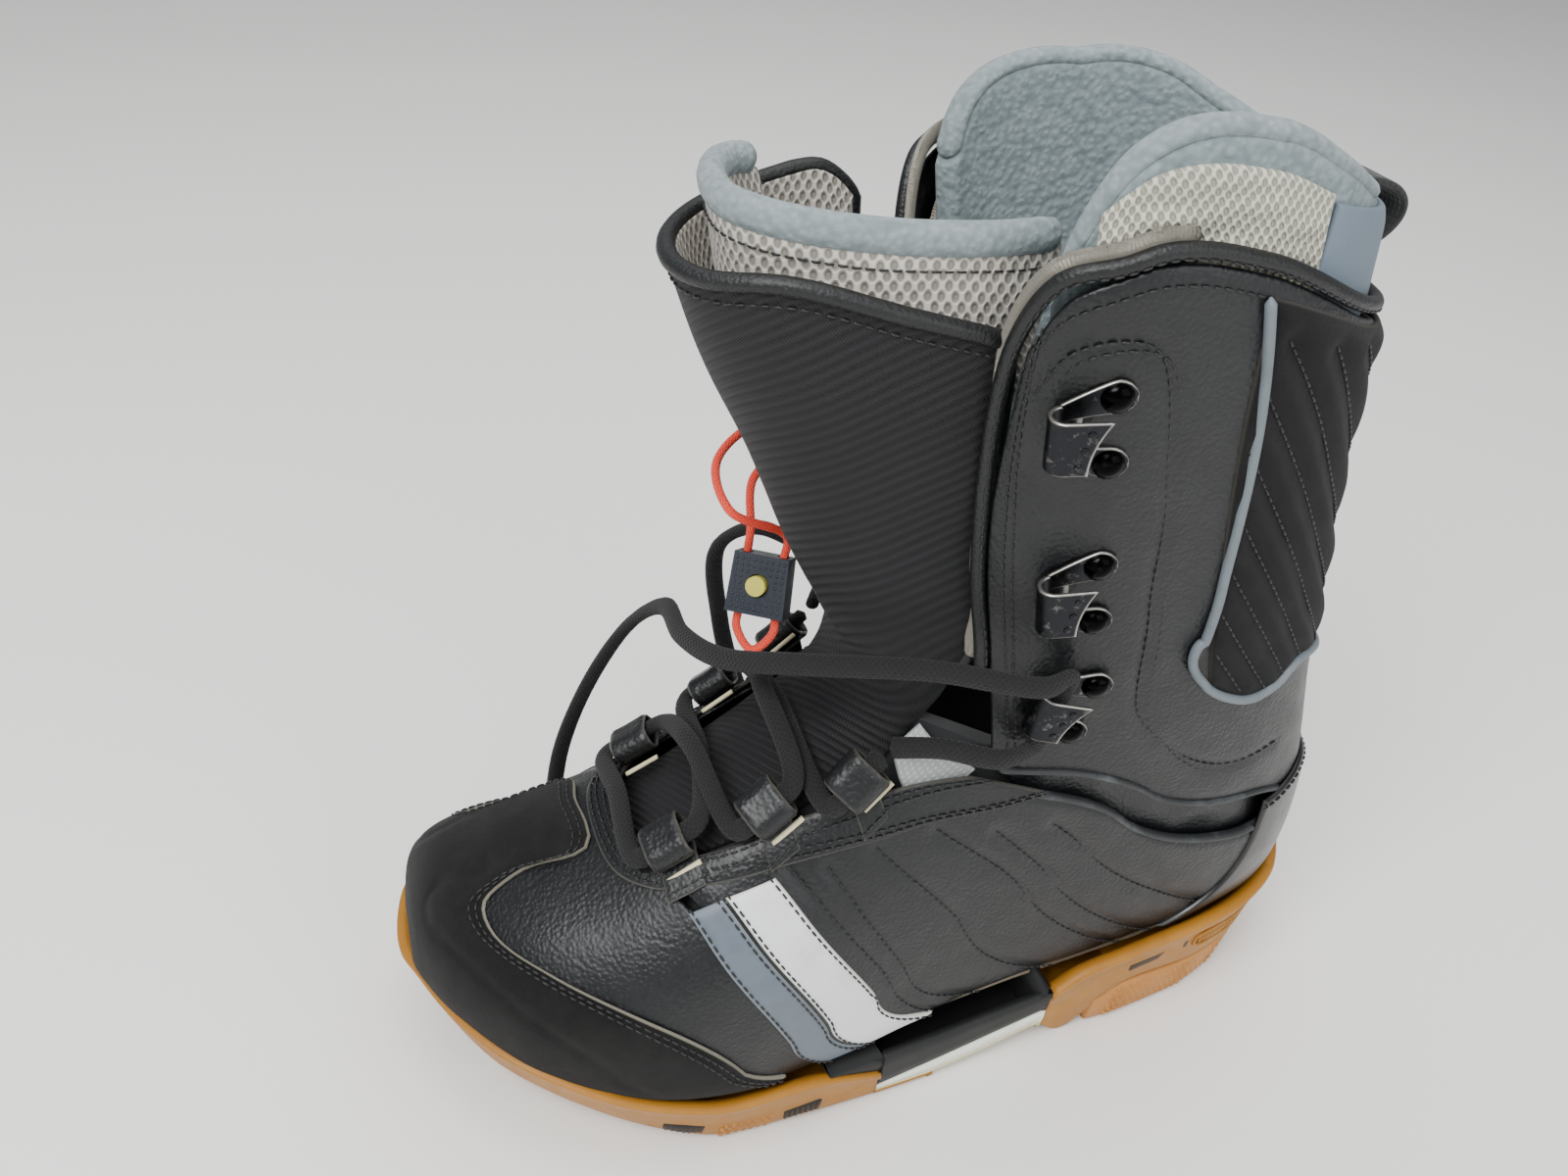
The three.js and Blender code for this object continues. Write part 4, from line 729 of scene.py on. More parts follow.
def repeat_tree(name, along_path):
    """Geometry nodes that set a template on every point, or evenly along every path."""
    tree = bpy.data.node_groups.new(name, "GeometryNodeTree")
    face = tree.interface
    face.new_socket("Geometry", in_out="INPUT", socket_type="NodeSocketGeometry")
    face.new_socket("Piece", in_out="INPUT", socket_type="NodeSocketObject")
    face.new_socket("Finish", in_out="INPUT", socket_type="NodeSocketMaterial")
    face.new_socket("Spacing", in_out="INPUT", socket_type="NodeSocketFloat")
    face.new_socket("Unevenness", in_out="INPUT", socket_type="NodeSocketFloat")
    face.new_socket("Geometry", in_out="OUTPUT", socket_type="NodeSocketGeometry")
    given = add(tree, "NodeGroupInput").outputs
    points = given["Geometry"]
    normal = add(tree, "GeometryNodeInputNamedAttribute", {"Name": "up"}, data_type="FLOAT_VECTOR").outputs[0]
    if along_path:
        curve = add(tree, "GeometryNodeMeshToCurve", {"Mesh": points}).outputs[0]
        points = add(tree, "GeometryNodeResampleCurve", {"Curve": curve, "Length": given["Spacing"]},
                     mode="LENGTH").outputs[0]
        tangent = add(tree, "GeometryNodeInputTangent").outputs[0]
        first = add(tree, "FunctionNodeAlignRotationToVector", {"Vector": tangent}, axis="X").outputs[0]
    else:
        heading = add(tree, "GeometryNodeInputNamedAttribute", {"Name": "along"},
                      data_type="FLOAT_VECTOR").outputs[0]
        first = add(tree, "FunctionNodeAlignRotationToVector", {"Vector": heading}, axis="X").outputs[0]
    turned = add(tree, "FunctionNodeAlignRotationToVector", {"Rotation": first, "Vector": normal}, axis="Z",
                 pivot_axis="X").outputs[0]
    least = add(tree, "ShaderNodeMath", {0: 1.0, 1: given["Unevenness"]}, operation="SUBTRACT").outputs[0]
    size = add(tree, "FunctionNodeRandomValue", {"Min": least, "Max": 1.0, "Seed": 7}, data_type="FLOAT")
    tree.links.new(least, size.inputs[2])
    size.inputs[3].default_value = 1.0
    source = add(tree, "GeometryNodeObjectInfo", {"Object": given["Piece"]}).outputs["Geometry"]
    placed = add(tree, "GeometryNodeInstanceOnPoints",
                 {"Points": points, "Instance": source, "Rotation": turned,
                  "Scale": size.outputs[1]}).outputs[0]
    real = add(tree, "GeometryNodeRealizeInstances", {"Geometry": placed}).outputs[0]
    done = add(tree, "GeometryNodeSetMaterial", {"Geometry": real, "Material": given["Finish"]}).outputs[0]
    add(tree, "NodeGroupOutput", {"Geometry": done})
    return tree


SEWING = repeat_tree("sewing along a line", True)
STUDDING = repeat_tree("pieces set on points", False)


def repeat(tree, name, rows, piece, body, spacing=3.0, uneven=0.12, along=None, stands_for=()):
    """Sets piece along each row of (points, normals), and leaves one plain mesh on the body."""
    material = piece.data.materials[0]
    points = np.concatenate([p for p, _ in rows]) * MM
    up = np.concatenate([n for _, n in rows])
    edges, start = [], 0
    for p, _ in rows:
        edges += [[start + i, start + i + 1] for i in range(len(p) - 1)]
        start += len(p)
    mesh = bpy.data.meshes.new(name + "_path")
    mesh.from_pydata(points.tolist(), edges if tree == SEWING else [], [])
    mesh.attributes.new("up", "FLOAT_VECTOR", "POINT").data.foreach_set("vector",
        up.astype(np.float32).ravel())
    if along is not None:
        values = np.concatenate(along).astype(np.float32).ravel()
        mesh.attributes.new("along", "FLOAT_VECTOR", "POINT").data.foreach_set("vector", values)
    path = bpy.data.objects.new(name + "_path", mesh)
    bpy.context.scene.collection.objects.link(path)
    modifier = path.modifiers.new("repeat", "NODES")
    modifier.node_group = tree
    values = {"Piece": piece, "Finish": material, "Spacing": spacing * MM, "Unevenness": uneven}
    for item in tree.interface.items_tree:
        if item.in_out == "INPUT" and item.name in values:
            modifier[item.identifier] = values[item.name]
    bpy.context.view_layer.update()
    made = bpy.data.meshes.new_from_object(path.evaluated_get(bpy.context.evaluated_depsgraph_get()))
    made.name = name
    if not made.materials:
        made.materials.append(material)
    made.polygons.foreach_set("use_smooth", [True] * len(made.polygons))
    path.modifiers.clear()
    bpy.data.objects.remove(path)
    result = bpy.data.objects.new(name, made)
    bpy.context.scene.collection.objects.link(result)
    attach(result, body)
    if stands_for:
        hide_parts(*stands_for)
    return result


def capsule(name, length, width, material, around=6):
    """One stitch: a short fat thread, sunk at both ends."""
    t = np.linspace(0, math.pi, 5)
    path = np.stack([-np.cos(t) * length / 2, t * 0, np.sin(t) * width * 0.35 - width * 0.2], 1)
    radius = width / 2 * np.array([0.45, 0.9, 1.0, 0.9, 0.45])
    angle = np.linspace(0, 2 * math.pi, around, endpoint=False)
    points = [(x, r * math.cos(a), z + r * math.sin(a)) for (x, _, z), r in zip(path, radius) for a in angle]
    faces = [[i * around + j, (i + 1) * around + j, (i + 1) * around + (j + 1) % around,
              i * around + (j + 1) % around][::-1]
             for i in range(4) for j in range(around)]
    faces += [list(range(around))[::-1], list(range(4 * around, 5 * around))]
    return make(name, points, faces, None, material)


STITCH_LONG, STITCH_THICK, STITCH_SPACING = 2.5, 0.75, 3.1
STITCH = capsule("stitch", STITCH_LONG, STITCH_THICK, M["thread"])
sewn = {"boot": [], "cuff": [], "tongue": []}


def frustum(name, x, y, z, material, top=0.7):
    """A moulded block: a rib, a lug or one tooth of a knurl, wider at its foot."""
    corners = [(-1, -1), (1, -1), (1, 1), (-1, 1)]
    points = [(a * x / 2, b * y / 2, -0.3) for a,
              b in corners] + [(a * x * top / 2, b * y * top / 2, z) for a, b in corners]
    faces = [[3, 2, 1, 0], [4, 5, 6, 7]] + [[i, (i + 1) % 4, 4 + (i + 1) % 4, 4 + i] for i in range(4)]
    piece = make(name, points, faces, None, material)
    piece.data.polygons.foreach_set("use_smooth", [False] * 6)
    return piece


def frame_at(s, degrees, depth):
    """A frame on the last, as 4 x 4: x towards the throat, y up the boot, z outwards."""
    z = last_normal(s, degrees)
    up = last_point(s + 0.2, degrees) - last_point(s - 0.2, degrees)
    y = unit(up - z * np.dot(up, z))
    frame = np.eye(4)
    frame[:3, 0], frame[:3, 1], frame[:3, 2], frame[:3, 3] = np.cross(y, z), y, z, skin(s, degrees, depth)
    return frame


def placed(frame, points):
    return np.asarray(points, float) @ frame[:3, :3].T + frame[:3, 3]


def studded(name, frame, points, piece, body, stands_for=()):
    """Sets piece upright at points of a frame."""
    count = (len(points), 1)
    repeat(STUDDING, name, [(placed(frame, points), np.tile(frame[:3, 2], count))], piece, body, uneven=0.0,
           along=[np.tile(frame[:3, 0], count)], stands_for=stands_for)


# ---- Sole ---------------------------------------------------------------------------------

# y, then height, outer and inner edge of the ground side, and the same of the upper side
SOLE = np.array([
    [-158, 33, -16, -26, 42, -14, -27],
    [-154, 30, -10, -38, 42, -3, -43],
    [-146, 25, 4, -45, 41, 14, -53],
    [-134, 19, 20, -48, 40, 31, -57],
    [-119, 13, 31, -50, 38, 44, -58],
    [-98, 6, 42, -50, 33, 55, -58],
    [-80, 1.5, 49, -49, 29, 59, -56],
    [-68, 0, 52, -48, 27, 60, -55],
    [-36, 0, 52, -44, 26, 58, -50],
    [-14, 0, 51, -41, 24, 54, -46],
    [9, 0, 49, -40, 24, 51, -44],
    [30, 6, 47, -40, 26, 49, -43],
    [48, 9, 45, -39, 28, 47.5, -43],
    [60, 0, 43, -38, 36, 47, -43],
    [80, 0, 42, -38, 41, 46.5, -43.5],
    [110, 0, 37, -35, 45, 43.5, -42],
    [128, 0, 30, -29, 46, 38, -37],
    [143, 3, 20, -19, 47, 29, -28],
    [152, 9, 10, -9, 48, 18, -17],
    [157, 16, 4, -4, 48, 9, -8],
], float)
TOE_END, HEEL_END, BAND_START, BAND_END, TREAD_END = -158, 157, -14, 50, 8


def sole_at(y):
    return np.array([np.interp(y, SOLE[:, 0], column) for column in SOLE.T])


def wall_point(y, z, side, out=0.0):
    """A point on the sole's side wall, out millimetres proud of it, and the wall's normal there."""
    def at(y, z):
        _, low, low_out, low_in, high, high_out, high_in = sole_at(y)
        t = np.clip((z - low) / (high - low), 0, 1.2)
        return np.array([low_out + (high_out - low_out) * t if side > 0 else low_in + (high_in - low_in) * t,
                         y, z])
    p = at(y, z)
    normal = np.cross(at(y + 3, z) - at(y - 3, z), at(y, z + 1) - at(y, z - 1))
    normal = normal / np.linalg.norm(normal) * (1 if normal[0] * side > 0 else -1)
    return p + normal * out, normal


def sole_ring(y0, y1, height, inset, count=90):
    """Once round a part of the sole, at height(row, y), drawn in by inset; None runs up its middle."""
    places = [y0, *[y for y in SOLE[:, 0] if y0 + 1 < y < y1 - 1], y1]
    rows = [sole_at(y) for y in places]
    walls = {1: [], -1: []}
    for y, row in zip(places, rows):
        z = height(row, y)
        t = np.clip((z - row[1]) / (row[4] - row[1]), 0, 1.2)
        walls[1].append([row[2] + (row[5] - row[2]) * t, y, z])
        walls[-1].append([row[3] + (row[6] - row[3]) * t, y, z])
    outer, inner = walls[1], walls[-1]
    t = np.linspace(0, 1, count)
    if y0 == TOE_END:
        ring = smooth(outer[::-1] + inner, np.linspace(0, 1, 2 * count))
    elif y1 == HEEL_END:
        ring = smooth(outer + inner[::-1], np.linspace(0, 1, 2 * count))
    else:
        ring = np.vstack([smooth(outer, t), smooth(inner[::-1], t)])
    if inset is None:
        middle = [np.interp(ring[:, 1], places, [(row[2] + row[3]) / 2 for row in rows])]
        return np.stack([middle[0], np.clip(ring[:, 1], y0 + 4, y1 - 4), ring[:, 2]], -1)
    along = np.gradient(ring, axis=0)
    normal = unit(np.stack([along[:, 1], -along[:, 0], along[:, 0] * 0], -1))
    if (normal * (ring - ring.mean(0))).sum() < 0:
        normal = -normal
    return ring - normal * inset


def low(shift):
    return lambda row, y: row[1] + shift


def band_top(y):
    return 6.5 + max(0.0, y - BAND_START) * 0.18


def gum_top(row, y):
    return row[4] - max(0.0, y + 34) / 20 * 8.5


def block_top(y):
    return 20 - max(0.0, 80 - y) * 0.5


def sole_piece(name, y0, y1, profile, material, stands_for=()):
    return loft(name, [sole_ring(y0, y1, height, inset) for height, inset in profile], "boot", material,
                stands_for)


def hollow(top, floor=lambda row, y: max(row[1] + 9, 15.0)):
    """The end of a wall's profile: over its top and down into the hollow for the upper."""
    return [(lambda row, y: top(row, y), 2.4), (lambda row, y: top(row, y) - 3, 5.0),
            (lambda row, y: min(floor(row, y), top(row, y) - 3.2), 8.0),
            (lambda row, y: min(floor(row, y), top(row, y) - 3.2), None)]


def between(part, bottom, top, shift=0.0):
    return lambda row, y: bottom(row, y) + (top(row, y) - bottom(row, y)) * part + shift


full_low = low(0)
sole_piece("gum_forefoot", TOE_END, BAND_START, [
    (low(0.9), None), (low(0.9), 3.2), (low(1.0), 1.5), (low(1.7), 0.5), (low(3.2), 0.0),
    (between(0.35, full_low, gum_top), 0.25), (between(0.7, full_low, gum_top), 0.25),
    (between(1, full_low, gum_top, -3.4), 0.0), (between(1, full_low, gum_top, -3.0), -0.75),
    (between(1, full_low, gum_top, -1.0), -0.9), (between(1, full_low, gum_top, -0.2), -0.3),
    *hollow(gum_top),
], M["gum"], ["outsole_forefoot"])
sole_piece("gum_forefoot_lip", BAND_START + 0.05, TREAD_END, [
    (low(0.9), None), (low(0.9), 2.0), (low(1.6), 0.3), (low(2.4), 0.0), (low(3.0), 0.5), (low(3.0), None)],
    M["gum"])
arch = lambda row, y: 3.2 if y < TREAD_END + 2 else row[1]
sole_piece("cream_foxing", BAND_START + 0.3, BAND_END - 0.3, [
    (arch, None), (arch, 1.5), (lambda r, y: arch(r, y) + 0.5, 0.1), (lambda r, y: arch(r, y) + 1.3, 0.0),
    (lambda r, y: arch(r, y) + 1.6, 0.6), (lambda r, y: arch(r, y) + 1.6, None)], M["cream"])
white_low = lambda row, y: arch(row, y) + 1.7
white_top = lambda row, y: max(band_top(y), white_low(row, y) + 1.0)
sole_piece("white_band", BAND_START + 0.3, BAND_END - 0.3, [
    (white_low, None), (white_low, 1.2), (between(0, white_low, white_top, 0.5), 0.1),
    (between(0.5, white_low, white_top), -0.2),
    (between(1, white_low, white_top, -0.5), 0.1), (white_top, 1.0), (white_top, None)], M["white_foam"],
    ["midsole_band"])
black_low = lambda row, y: white_top(row, y) + 0.2
black_top = lambda row, y: row[4] + 0.4
sole_piece("black_band", BAND_START + 0.3, BAND_END - 0.3, [
    (black_low, None), (black_low, 1.4), (between(0, black_low, black_top, 0.6), 0.3),
    (between(0.3, black_low, black_top), 0.0),
    (between(0.7, black_low, black_top), 0.1), (between(1, black_low, black_top, -0.6), 0.1),
    *hollow(black_top)], M["black_foam"], ["midsole"])
wedge_low = lambda row, y: gum_top(row, y) + 0.15
wedge_top = lambda row, y: max(row[4] + 0.3, wedge_low(row, y) + 0.4)
sole_piece("black_wedge", -34, BAND_START + 0.3, [
    (wedge_low, 6.0), (wedge_low, 0.8), (between(0.5, wedge_low, wedge_top), 0.3), (wedge_top, 0.8),
    (wedge_top, 6.0)], M["black_foam"])
heel_low = lambda row, y: max(row[1], block_top(y) + 0.2) if y > 69 else row[1]
heel_top = lambda row, y: row[4]
sole_piece("gum_heel", BAND_END, HEEL_END, [
    (heel_low, None), (heel_low, 2.0), (between(0, heel_low, heel_top, 0.5), 0.7),
    (between(0, heel_low, heel_top, 1.4), 0.2),
    (between(0.5, heel_low, heel_top), 0.3), (between(1, heel_low, heel_top, -4.6), 0.3),
    (between(1, heel_low, heel_top, -4.0), -0.9), (between(1, heel_low, heel_top, -1.2), -1.3),
    (between(1, heel_low, heel_top, -0.2), -0.5), *hollow(heel_top, lambda row, y: max(row[1] + 12, 20.0))],
    M["gum"], ["outsole_heel"])
block_high = lambda row, y: max(block_top(y), row[1] + 2)
sole_piece("heel_block", 70, HEEL_END, [
    (low(0.9), None), (low(0.9), 2.6), (low(1.2), 1.0), (low(2.2), 0.2),
    (between(0.4, full_low, block_high), 0.0),
    (between(1, full_low, block_high, -1.0), 0.0), (between(1, full_low, block_high, -0.2), 0.7),
    (block_high, None)], M["pale_gum"], ["heel_tread_block"])


def wall_patch(name, y0, y1, z_low, z_high, side, out, thick, material):
    """A flat inlay or raised plate on the sole's wall."""
    ys = np.linspace(y0, y1, max(int((y1 - y0) / 1.0), 6))
    ts = np.linspace(0, 1, 7)
    grid = [[wall_point(y, z_low(y) + (z_high(y) - z_low(y)) * t, side, out) for y in ys] for t in ts]
    points = np.array([[p for p, _ in row] for row in grid])
    normals = np.array([[n for _, n in row] for row in grid])
    return Sheet(points, normals, thick, 0.7).build(name, "boot", material)


def wall_studs(name, spots, side, piece, uneven):
    """Sets piece on the sole's wall at each y and z."""
    points, normals = zip(*[wall_point(y, z, side, -0.1) for y, z in spots])
    along = [wall_point(y + 1, z, side)[0] - wall_point(y - 1, z, side)[0] for y, z in spots]
    repeat(STUDDING, name, [(np.array(points), np.array(normals))], piece, "boot", uneven=uneven,
           along=[unit(np.array(along))])


TOOTH = frustum("knurl_tooth", 2.3, 2.3, 0.8, M["pale_gum"], 0.35)
RIB = frustum("moulded_rib", 1.2, 7.6, 0.9, M["dark_inlay"], 0.6)
SHORT_RIB = frustum("badge_rib", 1.2, 4.6, 0.7, M["gum"], 0.6)
LUG = frustum("tread_lug", 8.5, 5.0, 1.2, M["gum"], 0.8)
for side, name in SIDES:
    knurl = [(y + (2.4 if k % 2 else 0) / 2, 3.6 + k * 2.3) for y in np.arange(77, 151, 2.6) for k in range(7)
             if 3.6 + k * 2.3 > sole_at(y)[1] + 2.4 and 3.6 + k * 2.3 < block_top(y) - 1.5]
    wall_studs(f"heel_knurl_{name}", knurl, side, TOOTH, 0.1)
    pad = [(y + (1.2 if k % 2 else 0), 3 + k * 2.2) for y in np.arange(-68, -51, 2.5) for k in range(4)]
    wall_studs(f"edge_knurl_{name}", pad, side, TOOTH, 0.1)
    for centre, place in ((-80, "front"), (-41, "rear")):
        wall_patch(f"edge_inlay_{place}_{name}", centre - 7, centre + 7,
                   lambda y: sole_at(y)[1] + 2.2 + 0.12 * (y - centre + 7),
                   lambda y: sole_at(y)[1] + 10.2 + 0.12 * (y - centre + 7), side, 0.35, 1.2, M["black_foam"])
    ribs = [(y, sole_at(y)[1] + 6.2 + 0.12 * (y - centre + 7)) for centre in (-80, -41)
            for y in centre + np.arange(-5.4, 5.5, 1.8)]
    wall_studs(f"edge_ribs_{name}", ribs, side, RIB, 0.05)
    slot_mid = lambda y: 33 - (y - 107) / 35 * 5
    badge = [(y, slot_mid(y)) for y in np.arange(109.5, 141, 2.1)]
    wall_studs(f"badge_ribs_{name}", badge, side, SHORT_RIB, 0.04)
    turn = np.linspace(0, 2 * np.pi, 61)[:-1]
    loop_y = 124.5 + 17.5 * np.sign(np.cos(turn)) * np.abs(np.cos(turn)) ** 0.45
    loop_z = 4.2 * np.sign(np.sin(turn)) * np.abs(np.sin(turn)) ** 0.6
    frame_points = np.array([wall_point(y, slot_mid(y) + dz, side, 0.1)[0] for y, dz in zip(loop_y, loop_z)])
    closed = np.vstack([frame_points, frame_points[:2]])
    swept(f"badge_frame_{name}", closed, 1.4, 1.4, "boot", M["gum"], sides=8)
    wall_patch(f"heel_inlay_{name}", 80, 105, lambda y: 27.5 + (y - 80) * 0.1,
               lambda y: 31.0 + (y - 80) * 0.2, side, 0.1, 0.8, M["dark_inlay"])
tread = [(x, y) for y in np.arange(-148, 150, 8.5)
         for x in np.arange(-45, 50, 12.5) + (6 if int((y + 148) / 8.5) % 2 else 0)
         if not TREAD_END < y < 62 and sole_at(y)[3] + 8 < x < sole_at(y)[2] - 8]
lug_points = np.array([[x, y, sole_at(y)[1] + 1.0] for x, y in tread])
slope = np.array([sole_at(y + 2)[1] - sole_at(y - 2)[1] for _, y in tread]) / 4
lug_up = unit(np.stack([slope * 0, slope, -np.ones(len(slope))], -1))
repeat(STUDDING, "tread_lugs", [(lug_points, lug_up)], LUG, "boot", uneven=0.03,
       along=[np.tile([1.0, 0, 0], (len(tread), 1))])

# ---- Foot of the upper --------------------------------------------------------------------

FEATHER = [[6.0, 112], [6.5, 114.5], [7.0, 117], [7.6, 119], [8.2, 122], [8.9, 125], [9.7, 129], [10.2, 135],
           [10.6, 148], [10.9, 179.4]]
THROAT = [[8.7, 62], [7.3, 46], [6.2, 35], [5.3, 28], [4.7, 21], [4.42, 11], [4.36, 0]]
EYESTAY_EDGE = [[9.6, 79], [8.6, 71], [7.5, 60], [6.25, 47], [5.2, 36.5], [4.4, 27], [4.05, 15], [4.0, 0]]
QUARTER_TOP = [[4.62, 26], [5.4, 31], [6.2, 37], [7.3, 48], [8.7, 65], [9.25, 75], [10.2, 91], [11.3, 113],
               [12.0, 132], [12.3, 179.4]]
SLOT_TOP = [[9.0, 64.5], [9.6, 73], [10.75, 88], [12.0, 110], [12.35, 122], [12.5, 140], [12.6, 179.4]]
CUFF_FRONT = [[9.0, 64.5], [10.15, 51], [11.85, 38], [14.3, 35], [16.0, 41]]
CUFF_TOP = [[16.0, 41], [16.7, 51], [17.1, 65], [17.35, 76], [17.45, 89], [17.2, 126], [17.0, 179.4]]
BACK_LOW = [[13.3, 92], [13.4, 100], [13.85, 114], [14.3, 127], [14.45, 180]]
BACK_TOP = [[17.3, 90.5], [17.28, 98], [17.22, 112], [17.15, 127], [17.0, 180]]
SEAM = [[5.45, 106], [4.45, 76], [3.3, 50], [2.7, 34], [2.65, 20], [3.2, 8], [3.9, 6], [3.9, -12], [3.9, -30],
        [3.2, -31], [2.65, -40], [2.7, -52], [3.3, -64], [4.45, -84], [5.45, -106]]
TIP = [[0.02, a] for a in (125, 104, 86, 70, 56, 38, 20, -3, -26, -44, -58, -70, -86, -104, -125)]
QUILTING = [
    [[5.9, 44], [6.4, 70], [6.9, 94], [7.2, 116]], [[6.4, 53], [7.05, 91], [7.7, 120]],
    [[7.1, 59], [7.8, 91], [8.4, 125]],
    [[7.95, 68], [8.55, 92], [9.05, 128]], [[8.6, 78], [9.0, 100], [9.4, 128]],
    [[9.3, 85], [9.8, 106], [10.2, 130]],
]

CAP_SEAMS = (2.4, 4.9)
STAY_SEAMS = (("low", 2.0), ("low", 4.2), ("high", 2.2), ("high", 5.2))
OVERLAY_DEPTH, OVERLAY_THICK = -1.7, 1.75
PIPING_WIDE, PIPING_HIGH = 2.4, 3.4

vamp = on_last(over_top([[0.02, 124], [0.02, 90], [0.02, 60], [0.02, 30], [0.02, 0]]),
               over_top([[5.95, 111.5], [5.3, 72], [4.55, 27], [4.36, 14], [4.3, 0]]), 0, LEATHER, 1.6)
vamp.ripple(0.5, 26)
vamp.build("vamp_leather", "boot", M["leather"], ["vamp"])

cap = on_last(TIP, SEAM, OVERLAY_DEPTH, OVERLAY_THICK, 1.5)
inner_seam = smooth([[s - 1.15, a] for s, a in SEAM], np.linspace(0.03, 0.97, 150))
cap.ripple(0.45, 18).quilt([skin(*inner_seam.T, OVERLAY_DEPTH)], 0.35, 2.0)
cap.build("toe_cap_suede", "boot", M["suede"], ["toe_cap"])
for inset in CAP_SEAMS:
    sewn["boot"].append(cap.row("high", inset))

stay = on_last(over_top(EYESTAY_EDGE), over_top(THROAT), OVERLAY_DEPTH, OVERLAY_THICK, 1.2)
stay.puff(0.35, 2.5)
stay.build("eyestay_leather", "boot", M["leather_pale_edge"], ["eyestay"])
for where, inset in STAY_SEAMS:
    sewn["boot"].append(stay.row(where, inset))

for side, name in SIDES:
    quilt_lines = [seam(flip(points, side), 0)[0] for points in QUILTING]
    panel = on_last(flip(FEATHER, side), flip(QUARTER_TOP, side), 0, LEATHER, 1.2)
    panel.quilt(quilt_lines, 1.1, 3.2)
    piece = panel.build(f"quarter_leather_{name}", "boot", M["leather"], [f"quarter_{name}"])
    for points in QUILTING:
        sewn["boot"].append(seam(flip(points, side), 0))
    for label, front, rear in (
            ("grey", [[4.72, 39], [4.98, 60], [5.42, 84], [5.93, 108]],
             [[5.1, 40], [5.42, 62], [5.9, 86], [6.42, 111]]),
            ("white", [[5.13, 40], [5.45, 62], [5.93, 86], [6.45, 111]],
             [[5.72, 44], [6.1, 66], [6.62, 90], [7.2, 115]])):
        strip = on_last(flip(front, side), flip(rear, side), -1.5, 1.55, 0.9, 0.8)
        strip.puff(0.4, 2.0).ripple(0.2, 9)
        strip.build(f"{label}_stripe_{name}", "boot", M[f"{label}_stripe"], [f"stripe_{label}_{name}"])
        sewn["boot"].append(strip.row("low", 1.3))
        sewn["boot"].append(strip.row("high", 1.3))
    for points, body in ((QUARTER_TOP, "boot"), (SLOT_TOP, "cuff")):
        s, a = smooth(flip(points, side), np.linspace(0.36 if body == "boot" else 0.02, 0.985, 110)).T
        swept(f"slot_piping_{body}_{name}", skin(s, a, 0.4), PIPING_WIDE, PIPING_HIGH, body, M["worn_edge"],
              normals=last_normal(s, a), taper=2)

counter_low = [[9.5, 124], [10.3, 130], [10.9, 143], [11.2, 162], [11.25, 180]]
counter_high = [[12.15, 120], [12.6, 132], [12.95, 146], [13.1, 164], [13.15, 180]]
counter = on_last(round_back(counter_low), round_back(counter_high), -2.3, 2.3, 1.6, 1.6)
counter.puff(0.3, 5).build("heel_counter_shell", "boot", M["counter"], ["heel_counter"])
sewn["boot"].append(counter.row("high", 2.2))
gusset = on_last(round_back([[9.15, 79], [10.05, 96], [11.1, 116], [11.8, 130], [12.0, 150], [12.05, 180]]),
                 round_back([[9.15, 61], [10.7, 83], [11.9, 105], [12.6, 125], [12.8, 150], [12.85, 180]]),
                 GUSSET_TOP, GUSSET, 1.8)
gusset.ripple(0.5, 9).build("ankle_flex_panel", "boot", M["leather"], ["ankle_gusset"])

for side, name in SIDES:
    tab = on_last(flip([[7.95, 63], [7.72, 52], [7.78, 41]], side),
                  flip([[8.8, 63], [8.5, 52], [8.38, 42]], side), 1.7, 1.8, 1.3, 1.4)
    tab.puff(0.5, 3).build(f"ankle_tab_tape_{name}", "boot", M["grey_tape"], [f"ankle_tab_{name}"])

# Lace loops: leather straps folded round the lace.
LOOPS = [[4.78, 19], [5.9, 27], [7.15, 38]]
REACH, RISE, LOOP_WIDTH = 15.0, 9.6, 13.0


def racetrack(width, height, count=44):
    """A loop of points with straight long sides, evenly spaced, and its outward normals."""
    r, straight = height / 2, width - height
    half = straight + math.pi * r
    d = np.linspace(0, 2 * half, count, endpoint=False)
    side = np.where(d < half, 1, -1)
    d = np.where(d < half, d, d - half)
    a = np.maximum((d - straight) / r, 0) - math.pi / 2
    normals = side[:, None] * np.stack([np.cos(a), np.sin(a)], -1)
    centres = side * (np.minimum(d, straight) - straight / 2)
    return normals * r + centres[:, None] * np.array([1.0, 0]), normals


